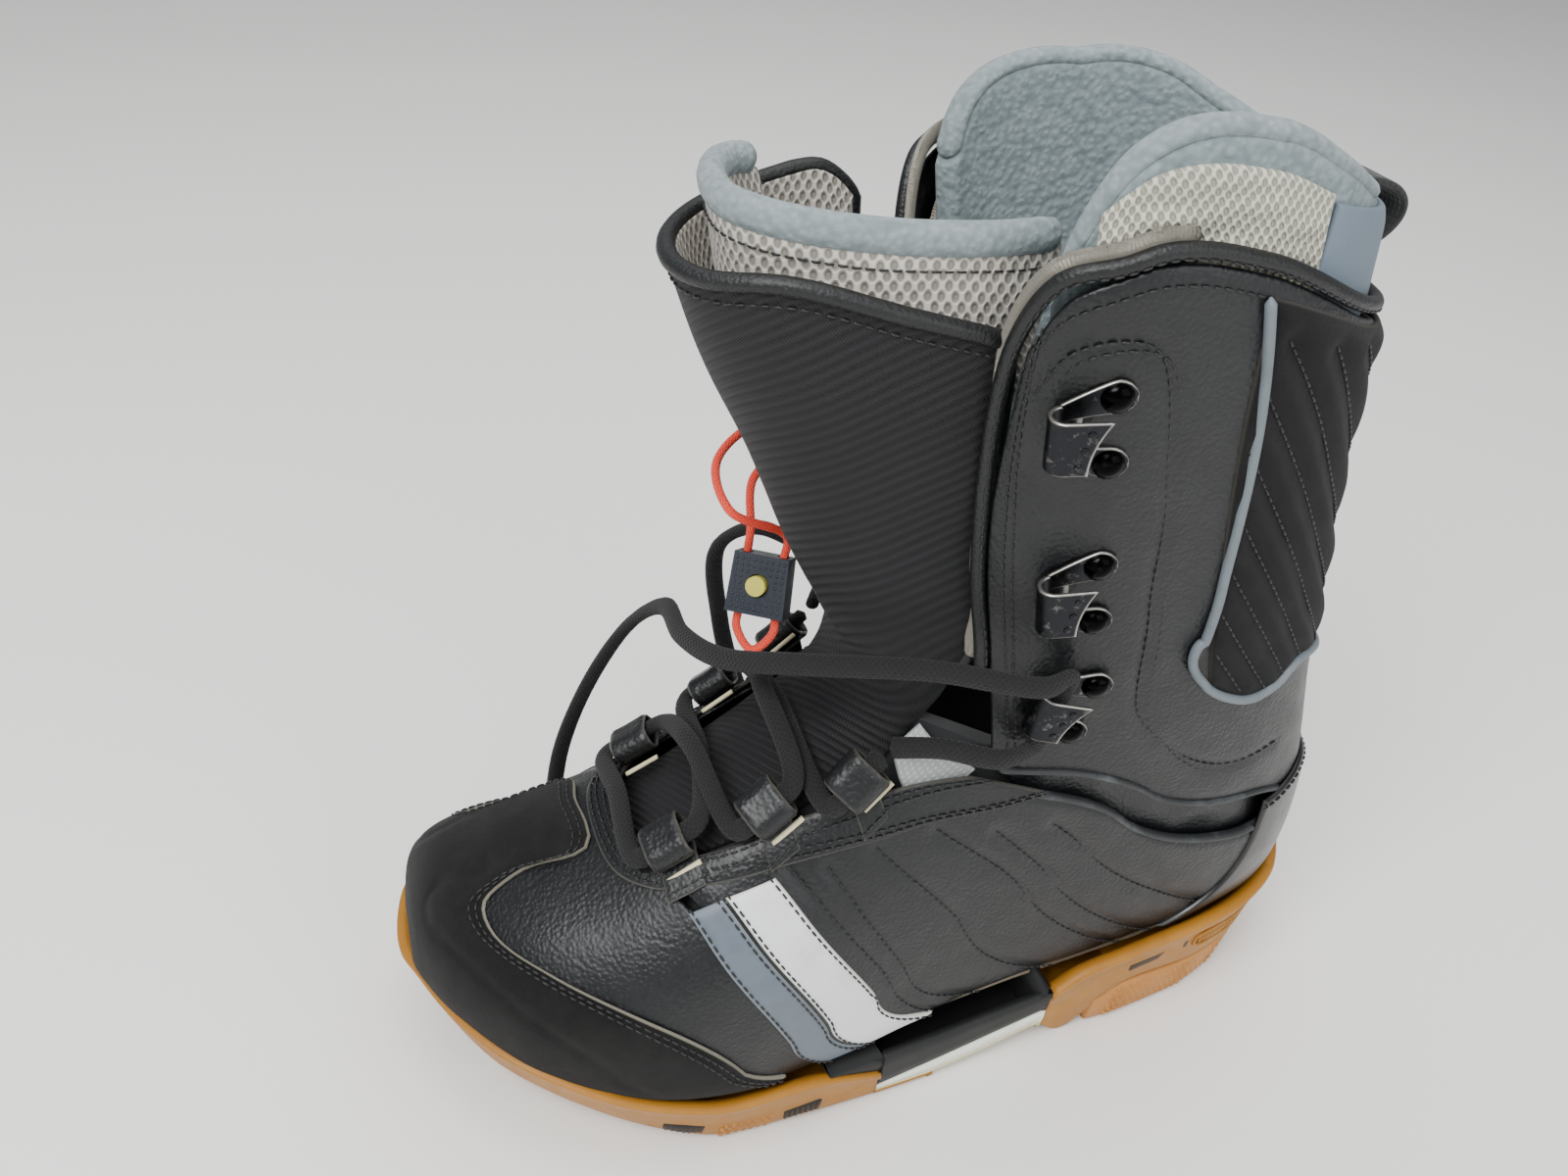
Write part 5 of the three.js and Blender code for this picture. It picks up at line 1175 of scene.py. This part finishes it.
for side, name in SIDES:
    for i, (s, degrees) in enumerate(LOOPS):
        frame_here = frame_at(s, side * degrees, -1.9)
        flat, out = racetrack(REACH, RISE)
        rows = np.linspace(-LOOP_WIDTH / 2, LOOP_WIDTH / 2, 12)
        pinch = 1 - 0.06 * np.cos(rows / LOOP_WIDTH * math.pi)
        points = np.array([[[x, y, z * k + RISE / 2] for x, z in flat] for y, k in zip(rows, pinch)])
        normals = np.array([[[x, 0, z] for x, z in out]] * len(rows))
        strap = Sheet(placed(frame_here, points), normals @ frame_here[:3, :3].T, 1.5, 0.7, wrap=True)
        strap.build(f"lace_loop_strap_{name}_{i + 1}", "boot", M["leather_pale_edge"],
                    [f"lace_loop_{name}_{i + 1}"])
        tail = on_last(flip([[s - 0.21, degrees + 15], [s - 0.21, degrees + 1]], side),
                       flip([[s + 0.21, degrees + 15], [s + 0.21, degrees + 1]], side), -2.8, 1.5, 1.2, 0.8)
        tail.build(f"lace_loop_tail_{name}_{i + 1}", "boot", M["leather_pale_edge"])
        sewn["boot"].append(tail.row("start", 2.4))
        slot = [[(REACH / 2 - 1) * 1.12 + 1.2, y, -0.25] for y in np.linspace(-5.8, 5.8, 9)]
        swept(f"loop_slot_{name}_{i + 1}", placed(frame_here, slot), 1.8, 1.4, "boot", M["cream"], sides=8,
              normals=np.tile(frame_here[:3, 2], (9, 1)))

# ---- Cuff ---------------------------------------------------------------------------------

BINDING, BACK_DEPTH, BACK_PIPING = 4.2, -1.5, -1.7
CUFF_SEAMS = (("start", 4.6), ("start", 7.0), ("high", 4.6))
CUFF_LINES = [[15.7, 46], [16.3, 56], [16.6, 75], [15.4, 82], [13.9, 82], [11.95, 84], [11.9, 89],
              [13.0, 118]]
for side, name in SIDES:
    flap = on_last(flip(SLOT_TOP, side), flip(CUFF_TOP, side), 0, LEATHER, 1.3, 1.2,
                   bow=lambda v, side=side: -side * 17.5 * np.sin(np.pi * v ** 0.9))
    flap.quilt([seam(flip(CUFF_LINES, side), 0)[0]], 0.6, 2.6).ripple(0.8, 34)
    flap.build(f"cuff_leather_{name}", "cuff", M["leather"], [f"cuff_{name}"])
    sewn["cuff"].append(seam(flip(CUFF_LINES, side), 0))
    sewn["cuff"].append(seam(flip([[s - 0.05, a + 2.5] for s, a in CUFF_LINES], side), 0))
    sewn["cuff"] += [flap.row(where, inset) for where, inset in CUFF_SEAMS]
    edge = [[17.3, 90], [16.1, 94], [14.65, 92], [13.25, 91], [13.35, 100], [13.85, 114], [14.3, 127],
            [14.45, 178]]
    s, a = smooth(flip(edge, side), np.linspace(0.0, 1.0, 130)).T
    swept(f"back_piping_{name}", skin(s, a, BACK_PIPING), 2.8, 3.0, "cuff", M["piping"],
          normals=last_normal(s, a), taper=2)

back = on_last(round_back(BACK_LOW), round_back(BACK_TOP), BACK_DEPTH, 2.2, 1.5)
quilts = []
for side in (1, -1):
    for start in np.arange(13.95, 20.1, 0.55):
        fall = np.array([[0, 90], [-0.35, 98], [-0.85, 112], [-1.35, 128], [-1.75, 150],
                         [-1.95, 176]]) + [start, 0]
        s, a = smooth(fall, np.linspace(0, 1, 60)).T
        floor_s = np.interp(a, [92, 100, 114, 127, 180], [13.3, 13.4, 13.85, 14.3, 14.45]) + 0.06
        keep = (s < 17.0) & (s > floor_s) & (a > 92.5)
        if keep.sum() > 3:
            quilts.append((skin(s[keep], side * a[keep], BACK_DEPTH - 0.25),
                           last_normal(s[keep], side * a[keep])))
back.quilt([q[0] for q in quilts], 1.7, 4.0).ripple(0.4, 16)
piece = back.build("back_panel_suede", "cuff", M["suede_panel"], ["back_panel"])
sewn["cuff"] += quilts
stay_back = on_last(round_back([[13.25, 158], [13.25, 180]]), round_back([[14.5, 152], [14.6, 180]]), -1.6,
                    2.0, 1.5, 1.2)
stay_back.puff(0.4, 3).build("glossy_backstay", "cuff", M["counter"])

front = [[s, a - 3.3 / 0.75] for s, a in CUFF_FRONT[1:4]]
rim_half = [*front, [16.05, 36.6], [16.85, 48], *[[s + 0.113, min(a, 180)] for s, a in CUFF_TOP[2:]]]
s, a = smooth(round_back(rim_half), np.linspace(0, 1, 420)).T
rim_path, rim_up = skin(s, a, LEATHER / 2), last_normal(s, a)
swept("cuff_binding_roll", rim_path, BINDING, BINDING, "cuff", M["rolled"], ["cuff_binding"], normals=rim_up,
      taper=2)
flank = unit(np.cross(np.gradient(rim_path, axis=0), rim_up))
toward_leather = -1 if np.dot(flank[210], [0, 0, 1]) > 0 else 1
sewn["cuff"].append((rim_path + rim_up * 1.6 + flank * toward_leather * 1.5, rim_up))

pale = rim_path - rim_up * 2.7 - flank * toward_leather * 2.2
for part, name in ((slice(2, 150), "lateral"), (slice(-150, -2), "medial")):
    swept(f"lining_edge_{name}", pale[part], 5.0, 2.6, "cuff", M["lining"], normals=rim_up[part], taper=2)

lining = on_last(round_back([[10.9, 62], [11.6, 82], [12.7, 108], [13.2, 130], [13.4, 155], [13.45, 180]]),
                 round_back([[15.8, 47], [16.75, 62], [17.2, 82], [17.1, 108], [16.95, 140], [16.85, 180]]),
                 LINING_TOP, LINING, 2.2)
lining.build("cuff_lining_knit", "cuff", M["lining"], ["cuff_lining"])

# Lace hooks, each folded from one sheet, with two domed rivets.
HOOKS = [("low", 11.3, 70, 1.3), ("middle", 13.5, 67, 0.4), ("top", 15.68, 66, 0.2)]
SHEET_STEEL, HOOK_WIDTH, HOOK_REACH, HOOK_RISE = 1.2, 15.0, 15.0, 6.4
RIVET = dome(4.1, 2.3, material=M["rivet"])
DIMPLE = dome(1.0, 0.35, 10, 3, "hook_pip", M["steel"])


def hook_frame(side, s, degrees, lift):
    """A frame on the cuff with x towards the throat, the same way up on both sides."""
    frame = frame_at(s, side * degrees, -0.4 - lift)
    if side > 0:
        frame[:3, 0], frame[:3, 1] = -frame[:3, 0], -frame[:3, 1]
    return frame


for side, name in SIDES:
    for label, s, degrees, lift in HOOKS:
        here = hook_frame(side, s, degrees, lift)
        r = HOOK_RISE / 2 + SHEET_STEEL
        turn = np.linspace(-math.pi / 2, math.pi / 2, 15)
        profile = np.array([[6, 0], *[[x, 0] for x in np.linspace(8, HOOK_REACH - r, 3)],
                            *[[HOOK_REACH - r + r * math.cos(t), r + r * math.sin(t)] for t in turn[1:]],
                            *[[x, 2 * r] for x in np.linspace(HOOK_REACH - r - 1.5, 4.6, 5)],
                            [3.9, 2 * r + 0.25]])
        tangent = unit(np.gradient(profile, axis=0))
        out = np.stack([tangent[:, 1], -tangent[:, 0]], -1)
        across = HOOK_WIDTH * ticks(HOOK_WIDTH, 1.4, 1.0) - HOOK_WIDTH / 2
        free = np.clip((np.arange(len(profile)) - 16) / 6, 0, 1)[:, None]
        points = np.array([[[x, y, z] for y in across] for x, z in profile])
        points[..., 0] += free * (2.4 * points[..., 1] / 7.5 - 1.2 * (points[..., 1] / 7.5) ** 2)
        normals = np.array([[[o[0], 0, o[1]] for _ in across] for o in out])
        strip = Sheet(placed(here, points), normals @ here[:3, :3].T, SHEET_STEEL, 0.45)
        strip.build(f"hook_strip_{name}_{label}", "cuff", M["steel"], [f"hook_{name}_{label}"])
        for end in (-1, 1):
            u, v = ticks(18, 1.3, 0.8) * 18 - 5, ticks(9, 1.2, 0.8) * 2 - 1
            round_end = np.sqrt(np.clip(1 - np.clip(-u / 5, 0, 1) ** 2, 0.03, 1))
            reach = 4.7 * round_end * (1 - 0.035 * np.clip(u, 0, 20))
            centre = end * (9.5 - 4.2 * np.clip(u / 13, 0, 1) ** 1.3)
            arm = np.array([[[x - 1.5, c + r * q, SHEET_STEEL + (0.06 if end > 0 else 0.02)] for q in v]
                            for x, c, r in zip(u, centre, reach)])
            arm_up = np.tile(here[:3, 2], (*arm.shape[:2], 1))
            arm_sheet = Sheet(placed(here, arm), arm_up, SHEET_STEEL, 0.5)
            arm_sheet.build(f"hook_arm_{name}_{label}_{(end + 3) // 2}", "cuff", M["steel"])
        studded(f"rivet_heads_{name}_{label}", here, [[-1.5, y, SHEET_STEEL + 0.2] for y in (-9.5, 9.5)],
                RIVET, "cuff", [f"rivets_{name}_{label}"])
        studded(f"hook_pips_{name}_{label}", here, [[6.3 + y * 0.26, y, 2 * r + 0.1] for y in (-4.6, 0, 4.6)],
                DIMPLE, "cuff")

# ---- Tongue and liner ---------------------------------------------------------------------

TONGUE_THICK, TONGUE_RIM_WIDE, TONGUE_RIM_HIGH, TONGUE_SEAM = 1.9, 4.8, 5.0, 5.0
LINER_TONGUE, LINER_RIM_WIDE, LINER_RIM_HIGH, LINER_SEAM = 5.0, 9.0, 7.6, 5.4
# apex y, apex z, middle x, outer and inner half width, inner and outer wing's reach back, their height
TONGUE_ROWS = np.array([
    [-24, 156, -1, 27, 24, 10, 20, -4],
    [-34, 178, -3, 30.5, 30, 26, 38, 2],
    [-46, 204, -5, 31, 35, 36, 47, 0],
    [-59, 232, -7, 34.5, 40, 45, 55, -2],
    [-72, 262, -8, 38, 44, 54, 64, -2],
    [-77, 274, -8, 38.5, 45, 58, 67, -2],
], float)


def shell_row(row, w):
    """One level of the tongue, wrapped round the shin, at fractions w from its inner to its outer edge."""
    y, z, mid, out, inner, reach, reach_out, lift = row
    angle = np.radians(96 * w)
    half = np.where(angle > 0, out, inner)
    reach = np.where(angle > 0, reach_out, reach)
    wing = 1 - np.cos(angle)
    return np.stack([mid + half * np.sin(angle), y + reach * wing, z + lift * wing], -1)


def grid_normals(points, outward):
    normals = unit(np.cross(np.gradient(points, axis=1), np.gradient(points, axis=0)))
    i, j = points.shape[0] // 2, points.shape[1] // 2
    return normals if np.dot(normals[i, j], outward) > 0 else -normals


def through_rows(rows, step, edge=1.2):
    """A grid whose rows pass smoothly through the given rows of points."""
    rows = np.array(rows)
    mid = rows.shape[1] // 2
    v = ticks(length_of(smooth(rows[:, mid], np.linspace(0, 1, 60))), step, edge)
    return np.stack([smooth(rows[:, j], v) for j in range(rows.shape[1])], 1)


FOLD_TOP = 172
w = ticks(150, 1.7, 1.2) * 2 - 1
lower = [skin(s, w * np.interp(s, [4.1, 7.9], [16, 46]), LINING_TOP) for s in (4.15, 5.2, 6.2, 7.1)]
upper_rows = [shell_row(row, w) for row in TONGUE_ROWS]
upper_rows[-1][:, 2] += (12 * np.clip(-w, 0, 1) ** 2 - 12 * np.clip((-w - 0.84) / 0.16, 0, 1) ** 2
                         + 4 * np.exp(-((w - 0.5) / 0.2) ** 2) - 7 * np.clip((w - 0.6) / 0.4, 0, 1) ** 2)
tongue_points = through_rows(lower + upper_rows, 1.7)
tongue_out = grid_normals(tongue_points, [0, -1, 0.3])
tongue = Sheet(tongue_points, tongue_out, TONGUE_THICK, 0.9)
fold = np.exp(-((tongue_points[..., 2] - 160) / 12) ** 2) * np.sin(tongue_points[..., 2] / 2.6)
tongue.raised += 0.5 * fold
tongue.ripple(1.2, 30).puff(0.5, 5)
tongue_piece = tongue.build("tongue_nylon", None, M["nylon"], ["tongue_lower", "tongue_upper"])
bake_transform(tongue_piece)
upper = tongue_points[..., 2].mean(1) > FOLD_TOP
inner_points = tongue_points[upper] - tongue_out[upper] * 2.0
inner_w = slice(2, -2)
inside = Sheet(inner_points[:-1, inner_w], tongue_out[upper][:-1, inner_w], 1.6, 1.0)
inside.build("tongue_mesh_lining", "tongue", M["mesh"])
rim_line = np.concatenate([tongue_points[upper][:, 0], tongue_points[-1], tongue_points[upper][::-1, -1]])
rim_normal = np.concatenate([tongue_out[upper][:, 0], tongue_out[-1], tongue_out[upper][::-1, -1]])
six = np.hstack([rim_line, rim_normal * 0.01])[::3]
bound = smooth(six, np.linspace(0, 1, 220))
swept("tongue_binding", bound[:, :3] - unit(bound[:, 3:]), TONGUE_RIM_WIDE, TONGUE_RIM_HIGH, "tongue",
      M["rolled"], normals=bound[:, 3:], taper=2)
sewn["tongue"].append(tongue.row("high", TONGUE_SEAM))

liner_rows = []
for i, row in enumerate(TONGUE_ROWS):
    y, z, mid, out, inner, reach, reach_out, lift = row
    narrow = [y + 4 + min(6, 3 * i), z + (14 if i == 5 else 0), mid + 1, out - 7, inner - 12,
              (reach - 7 - min(8, 4 * i)) * (1 - 0.11 * i), reach_out - 7 - min(6, 3 * i), lift]
    liner_rows.append(shell_row(narrow, ticks(120, 2.2, 2.4) * (2 + 0.05 * i) - 1))
liner_points = through_rows(liner_rows, 2.2, 2.4)
liner_tongue = Sheet(liner_points, grid_normals(liner_points, [0, -1, 0.3]), LINER_TONGUE, 2.4)
piece = liner_tongue.ripple(0.9, 22).build("liner_tongue_foam", "tongue", M["mesh"], ["liner_tongue"])
rim_up = liner_tongue.normals[-1, 2:-2]
rim_at = liner_points[-1, 2:-2] - rim_up * 2.4 + [0, 0, 1.5]
swept("liner_tongue_rim", rim_at, LINER_RIM_WIDE, LINER_RIM_HIGH, "tongue", M["rim_fleece"], normals=rim_up,
      taper=4)
sewn["tongue"].append(liner_tongue.row("high", LINER_SEAM))

COLLAR = [[16.4, 44], [17.3, 54], [18.1, 70], [18.45, 90], [18.35, 112], [18.2, 135], [18.2, 160],
          [18.2, 200], [18.3, 225], [18.38, 243], [18.3, 262], [18.02, 280], [17.55, 297], [16.8, 311]]
liner_low = [[10.2, 66], [11.3, 86], [12.3, 106], [12.95, 126], [13.2, 140], [13.3, 155], [13.35, 168],
             [13.35, 192], [13.3, 205], [13.2, 220], [12.95, 234], [12.3, 254], [11.3, 274], [10.2, 294]]
s, a = patch(liner_low, COLLAR, 2.2, 3.4)
liner = Sheet(skin(s, a, LINER_TOP), last_normal(s, a), LINER_WALL, 3.4)
liner.ripple(0.5, 14)
piece = liner.build("liner_cuff_fleece", "cuff", M["fleece"], ["liner_cuff"])
flap_low = [[17.0, 57], [17.3, 74], [17.35, 90], [17.25, 106]]
flap_high = [[17.5, 57.5], [18.03, 74], [18.22, 90], [18.16, 106]]
mesh_flap = on_last(flap_low, flap_high, LINER_TOP - 1.7, 2.2, 1.0, 0.8)
mesh_flap.ripple(1.6, 5, (0.25, 0.25, 1)).build("liner_mesh_flap", "cuff", M["flap_mesh"])
s, a = smooth(COLLAR, np.linspace(0.01, 0.99, 260)).T
swept("liner_rim_roll", skin(s, a, LINER_TOP + 3.7), 7.6, 5.0, "cuff", M["rim_fleece"],
      normals=unit(last_point(s + 0.2, a) - last_point(s - 0.2, a)), taper=4)
foam = on_last(round_back([[17.2, 104], [17.12, 130], [17.1, 180]]),
               round_back([[18.1, 108], [18.1, 130], [18.08, 180]]), LINER_TOP - 2.1, 2.3, 1.4)
foam.puff(0.8, 3).build("liner_back_foam", "cuff", M["foam_panel"], ["liner_back_panel"])

STRAP_WIDE, STRAP_REACH = 13, 19.6
top_end, low_end = skin(18.1, 180, LINER_TOP - 2.6), skin(17.36, 180, LINER_TOP - 2.6)
up = unit(top_end - low_end)
outward = np.cross(up, [1.0, 0, 0])
half = np.linalg.norm(top_end - low_end) / 2
turn = np.linspace(-math.pi / 2, math.pi / 2, 40)
arc = ((top_end + low_end) / 2 + np.outer(np.cos(turn) * STRAP_REACH, outward)
       + np.outer(np.sin(turn) * (half - 0.3), up))
arc_out = unit(np.outer(np.cos(turn) / 20, outward) + np.outer(np.sin(turn) / half, up))
across = (ticks(STRAP_WIDE, 1.4, 0.8) - 0.5) * STRAP_WIDE
strap = Sheet(arc[:, None] + across[None, :, None] * np.array([1.0, 0, 0]),
              np.repeat(arc_out[:, None], len(across), 1), 1.7, 0.7)
strap.build("pull_loop_webbing", "cuff", M["black_tape"], ["pull_loop"])

# ---- Cord lock ----------------------------------------------------------------------------

face = unit(np.array([0.72, -0.55, 0.42]))
lock_up = np.array([0.05, -0.1, 0.95])
lock_up = unit(lock_up - face * np.dot(lock_up, face))
LOCK = np.eye(4)
LOCK[:3, 0], LOCK[:3, 1], LOCK[:3, 2], LOCK[:3, 3] = np.cross(lock_up, face), lock_up, face, [-13, -45, 171]
for node, width in (("cord_lock", 0.0011), ("lock_button", 0.0009)):
    bevel = NODES[node].modifiers.new("rounded edges", "BEVEL")
    bevel.width, bevel.segments, bevel.limit_method, bevel.angle_limit = width, 3, "ANGLE", math.radians(40)
DOT = dome(0.55, 0.3, 8, 3, "lock_dot", M["lock"])
dots = [[x, y, 4.0] for x in np.arange(-7.2, 7.3, 1.8) for y in np.arange(-7.2, 7.3, 1.8)
        if math.hypot(x, y) > 4.9]
studded("lock_dots", LOCK, dots, DOT, "cord_lock")

# ---- Cords --------------------------------------------------------------------------------

THROUGH = LOOP_WIDTH / 2 + 4


def loop_point(side, index, step):
    """A place in a lace loop, step along it, and the way the lace faces there."""
    s, degrees = LOOPS[index]
    here = frame_at(s, side * degrees, -2.6)
    return np.concatenate([placed(here, [0, step, RISE / 2]), here[:3, 2] * 0.01])


def over(s, degrees, height):
    """A place above the tongue, where the lace crosses it."""
    return np.concatenate([skin(s, degrees, -height), last_normal(s, degrees) * 0.01])


def bends(*rows):
    return [np.concatenate([row[:3], unit(np.array(row[3:], float)) * 0.01]) for row in rows]


def lace(name, route, node, width, height, body, step=1.1):
    path = even(route, step)
    piece = swept(name, path[:, :3], width, height, body, M["lace"], [node], normals=path[:, 3:], sides=14,
                  taper=1.0)
    return piece


def passing(side, index, up):
    """In, through and out of a lace loop."""
    return [loop_point(side, index, up * step) for step in (-THROUGH, 0, THROUGH)]


LACE_WIDE, LACE_HIGH = 6.4, 4.2
threaded = [*passing(-1, 2, -1), over(6.55, 0, 9.5), *passing(1, 1, -1), over(5.4, 0, 9.5),
            *passing(-1, 0, -1),
            over(4.44, 0, 8), *passing(1, 0, 1), over(5.36, 0, 2.4), *passing(-1, 1, 1), over(6.5, 0, 2.4),
            *passing(1, 2, 1)]
lace("lace_criss_cross", threaded, "lace_threaded", LACE_WIDE, LACE_HIGH, "boot")

FLOOR = LACE_HIGH / 2 + 0.05
TIP_WIDE, TIP_HIGH, TIP_BEND = 4.6, 3.7, 0.45
COILS = {"lateral": (-98, -66), "medial": (-98, 24)}


def spiral(centre, turns=1.3):
    """One flat turn on the floor, for the end of a lace."""
    turn = np.linspace(0, turns, 16)
    r = 30 - 7 * turn
    return bends(*[(centre[0] + q * math.cos(t), centre[1] + q * math.sin(t), FLOOR, 0, 0, 1)
                   for q, t in zip(r, turn * 2 * math.pi)])


def lace_tip(name, centre, node):
    """The crimped metal tip at the end of a lace."""
    end, before = spiral(centre)[-1][:3], spiral(centre, 1.29)[-1][:3]
    along = unit(end - before)
    cos, sin = math.cos(TIP_BEND), math.sin(TIP_BEND)
    along = np.array([along[0] * cos - along[1] * sin, along[0] * sin + along[1] * cos, 0])
    path = end + np.linspace(-1.5, 18.5, 20)[:, None] * along
    return swept(name, path, TIP_WIDE, TIP_HIGH, "boot", M["aglet"], [node],
                 normals=np.tile([0, 0, 1.0], (20, 1)), taper=1.5)


hook = hook_frame(1, *HOOKS[0][1:])
hook_line = [np.concatenate([placed(hook, [9, y, SHEET_STEEL + HOOK_RISE / 2]), hook[:3, 2] * 0.01])
             for y in (14, 9, 4, -4, -9, -14)]
# Each bend is a place, and the way the flat lace faces there.
lateral = [
    loop_point(1, 2, THROUGH + 3), *bends((43, -8, 148, 1, -0.6, 0.4), (49, 8, 146, 1, -0.3, 0.2)),
    *hook_line,
    *bends((53, 14, 174, 1, -0.6, 0.3), (42, -14, 176, 0.7, -1, 0.3), (22, -44, 168, 0.3, -1, 0.4),
           (0, -60, 156, 0, -1, 0.5), (-22, -66, 149, -0.2, -1, 0.6), (-44, -66, 144, -0.4, -0.8, 0.6),
           (-58, -74, 128, -0.8, -0.6, 0.5), (-64, -88, 98, -1, -0.5, 0.2), (-67, -98, 62, -1, -0.3, 0.1),
           (-68, -98, 28, -1, -0.2, 0.4), (-68, -82, 8, -0.3, 0.1, 1)),
    *spiral(COILS["lateral"])]
medial = [
    loop_point(-1, 2, THROUGH + 3),
    *bends((-45, -14, 150, -1, -0.6, 0.4), (-58, -30, 160, -0.4, -0.6, 1), (-66, -42, 150, -1, -0.4, 0.6),
           (-68, -40, 118, -1, -0.2, 0), (-68, -30, 80, -1, 0, 0), (-69, -12, 40, -1, 0, 0.1),
           (-68, 6, 9, -0.4, 0, 1)),
    *spiral(COILS["medial"])]
for name, route in (("lateral", lateral), ("medial", medial)):
    tip = lace_tip(f"lace_tip_{name}", COILS[name], f"aglet_{name}")
    lace(f"lace_end_{name}_braid", route, f"lace_end_{name}", LACE_WIDE, LACE_HIGH, "boot")

BORE, CORD = 5.6, 2.6
down = [[-BORE, 15, 0], [-BORE, 8, 0], [-BORE, -8, 0], [-BORE, -14, 0], [0, -20, 0]]
back_up = [[BORE, -14, 0], [BORE, -8, 0], [BORE, 8, 0], [BORE, 15, 0]]
cord_points = [[-43, -12, 198], [-43, -26, 198], [-35, -42, 194], *placed(LOCK, down), *placed(LOCK, back_up),
               [-12, -56, 198], [-28, -56, 204], [-41, -42, 208], [-46, -24, 209]]
red_path = even(cord_points, 0.9)
red = swept("liner_draw_cord", red_path, CORD, CORD, "tongue", M["cord"], ["liner_cord"], sides=10, taper=0.8)

# ---- Sewing, and the finish of the parts kept as they are ---------------------------------

for body, rows in sewn.items():
    repeat(SEWING, f"stitching_{body}", rows, STITCH, body, spacing=STITCH_SPACING, uneven=0.15)
KEPT = {"lasting_board": "board", "liner_foot": "liner_shell", "footbed": "footbed", "cord_lock": "lock",
        "lock_button": "button"}
for node, finish in KEPT.items():
    NODES[node].data.materials.clear()
    NODES[node].data.materials.append(M[finish])
for piece in (STITCH, TOOTH, RIB, SHORT_RIB, LUG, RIVET, DIMPLE, DOT):
    bpy.data.objects.remove(piece)

# ---- Floor and light ----------------------------------------------------------------------

paper = Finish("seamless studio paper", "ECEBE8", 0.9)
bpy.ops.mesh.primitive_plane_add(size=6)
floor = bpy.context.object
floor.name = "studio_floor"
floor.data.materials.append(paper.material)


def softbox(name, place, aim, size, power):
    light = bpy.data.objects.new(name, bpy.data.lights.new(name, "AREA"))
    light.data.shape, light.data.size, light.data.energy = "SQUARE", size, power
    light.location = place
    light.rotation_mode = "QUATERNION"
    light.rotation_quaternion = (Vector(aim) - Vector(place)).to_track_quat("-Z", "Y")
    bpy.context.scene.collection.objects.link(light)


softbox("key", (0.6, -0.8, 1.3), (0, 0, 0.12), 0.8, 30)
softbox("fill", (1.2, 0.6, 0.8), (0, 0, 0.12), 1.2, 12)
softbox("top", (-0.3, 0.1, 1.6), (0, 0, 0.1), 1.6, 20)
world = bpy.data.worlds.new("studio")
world.use_nodes = True
sky = world.node_tree.nodes["Background"].inputs
sky["Color"].default_value, sky["Strength"].default_value = colour("EEF1F4"), 0.45
bpy.context.scene.world = world
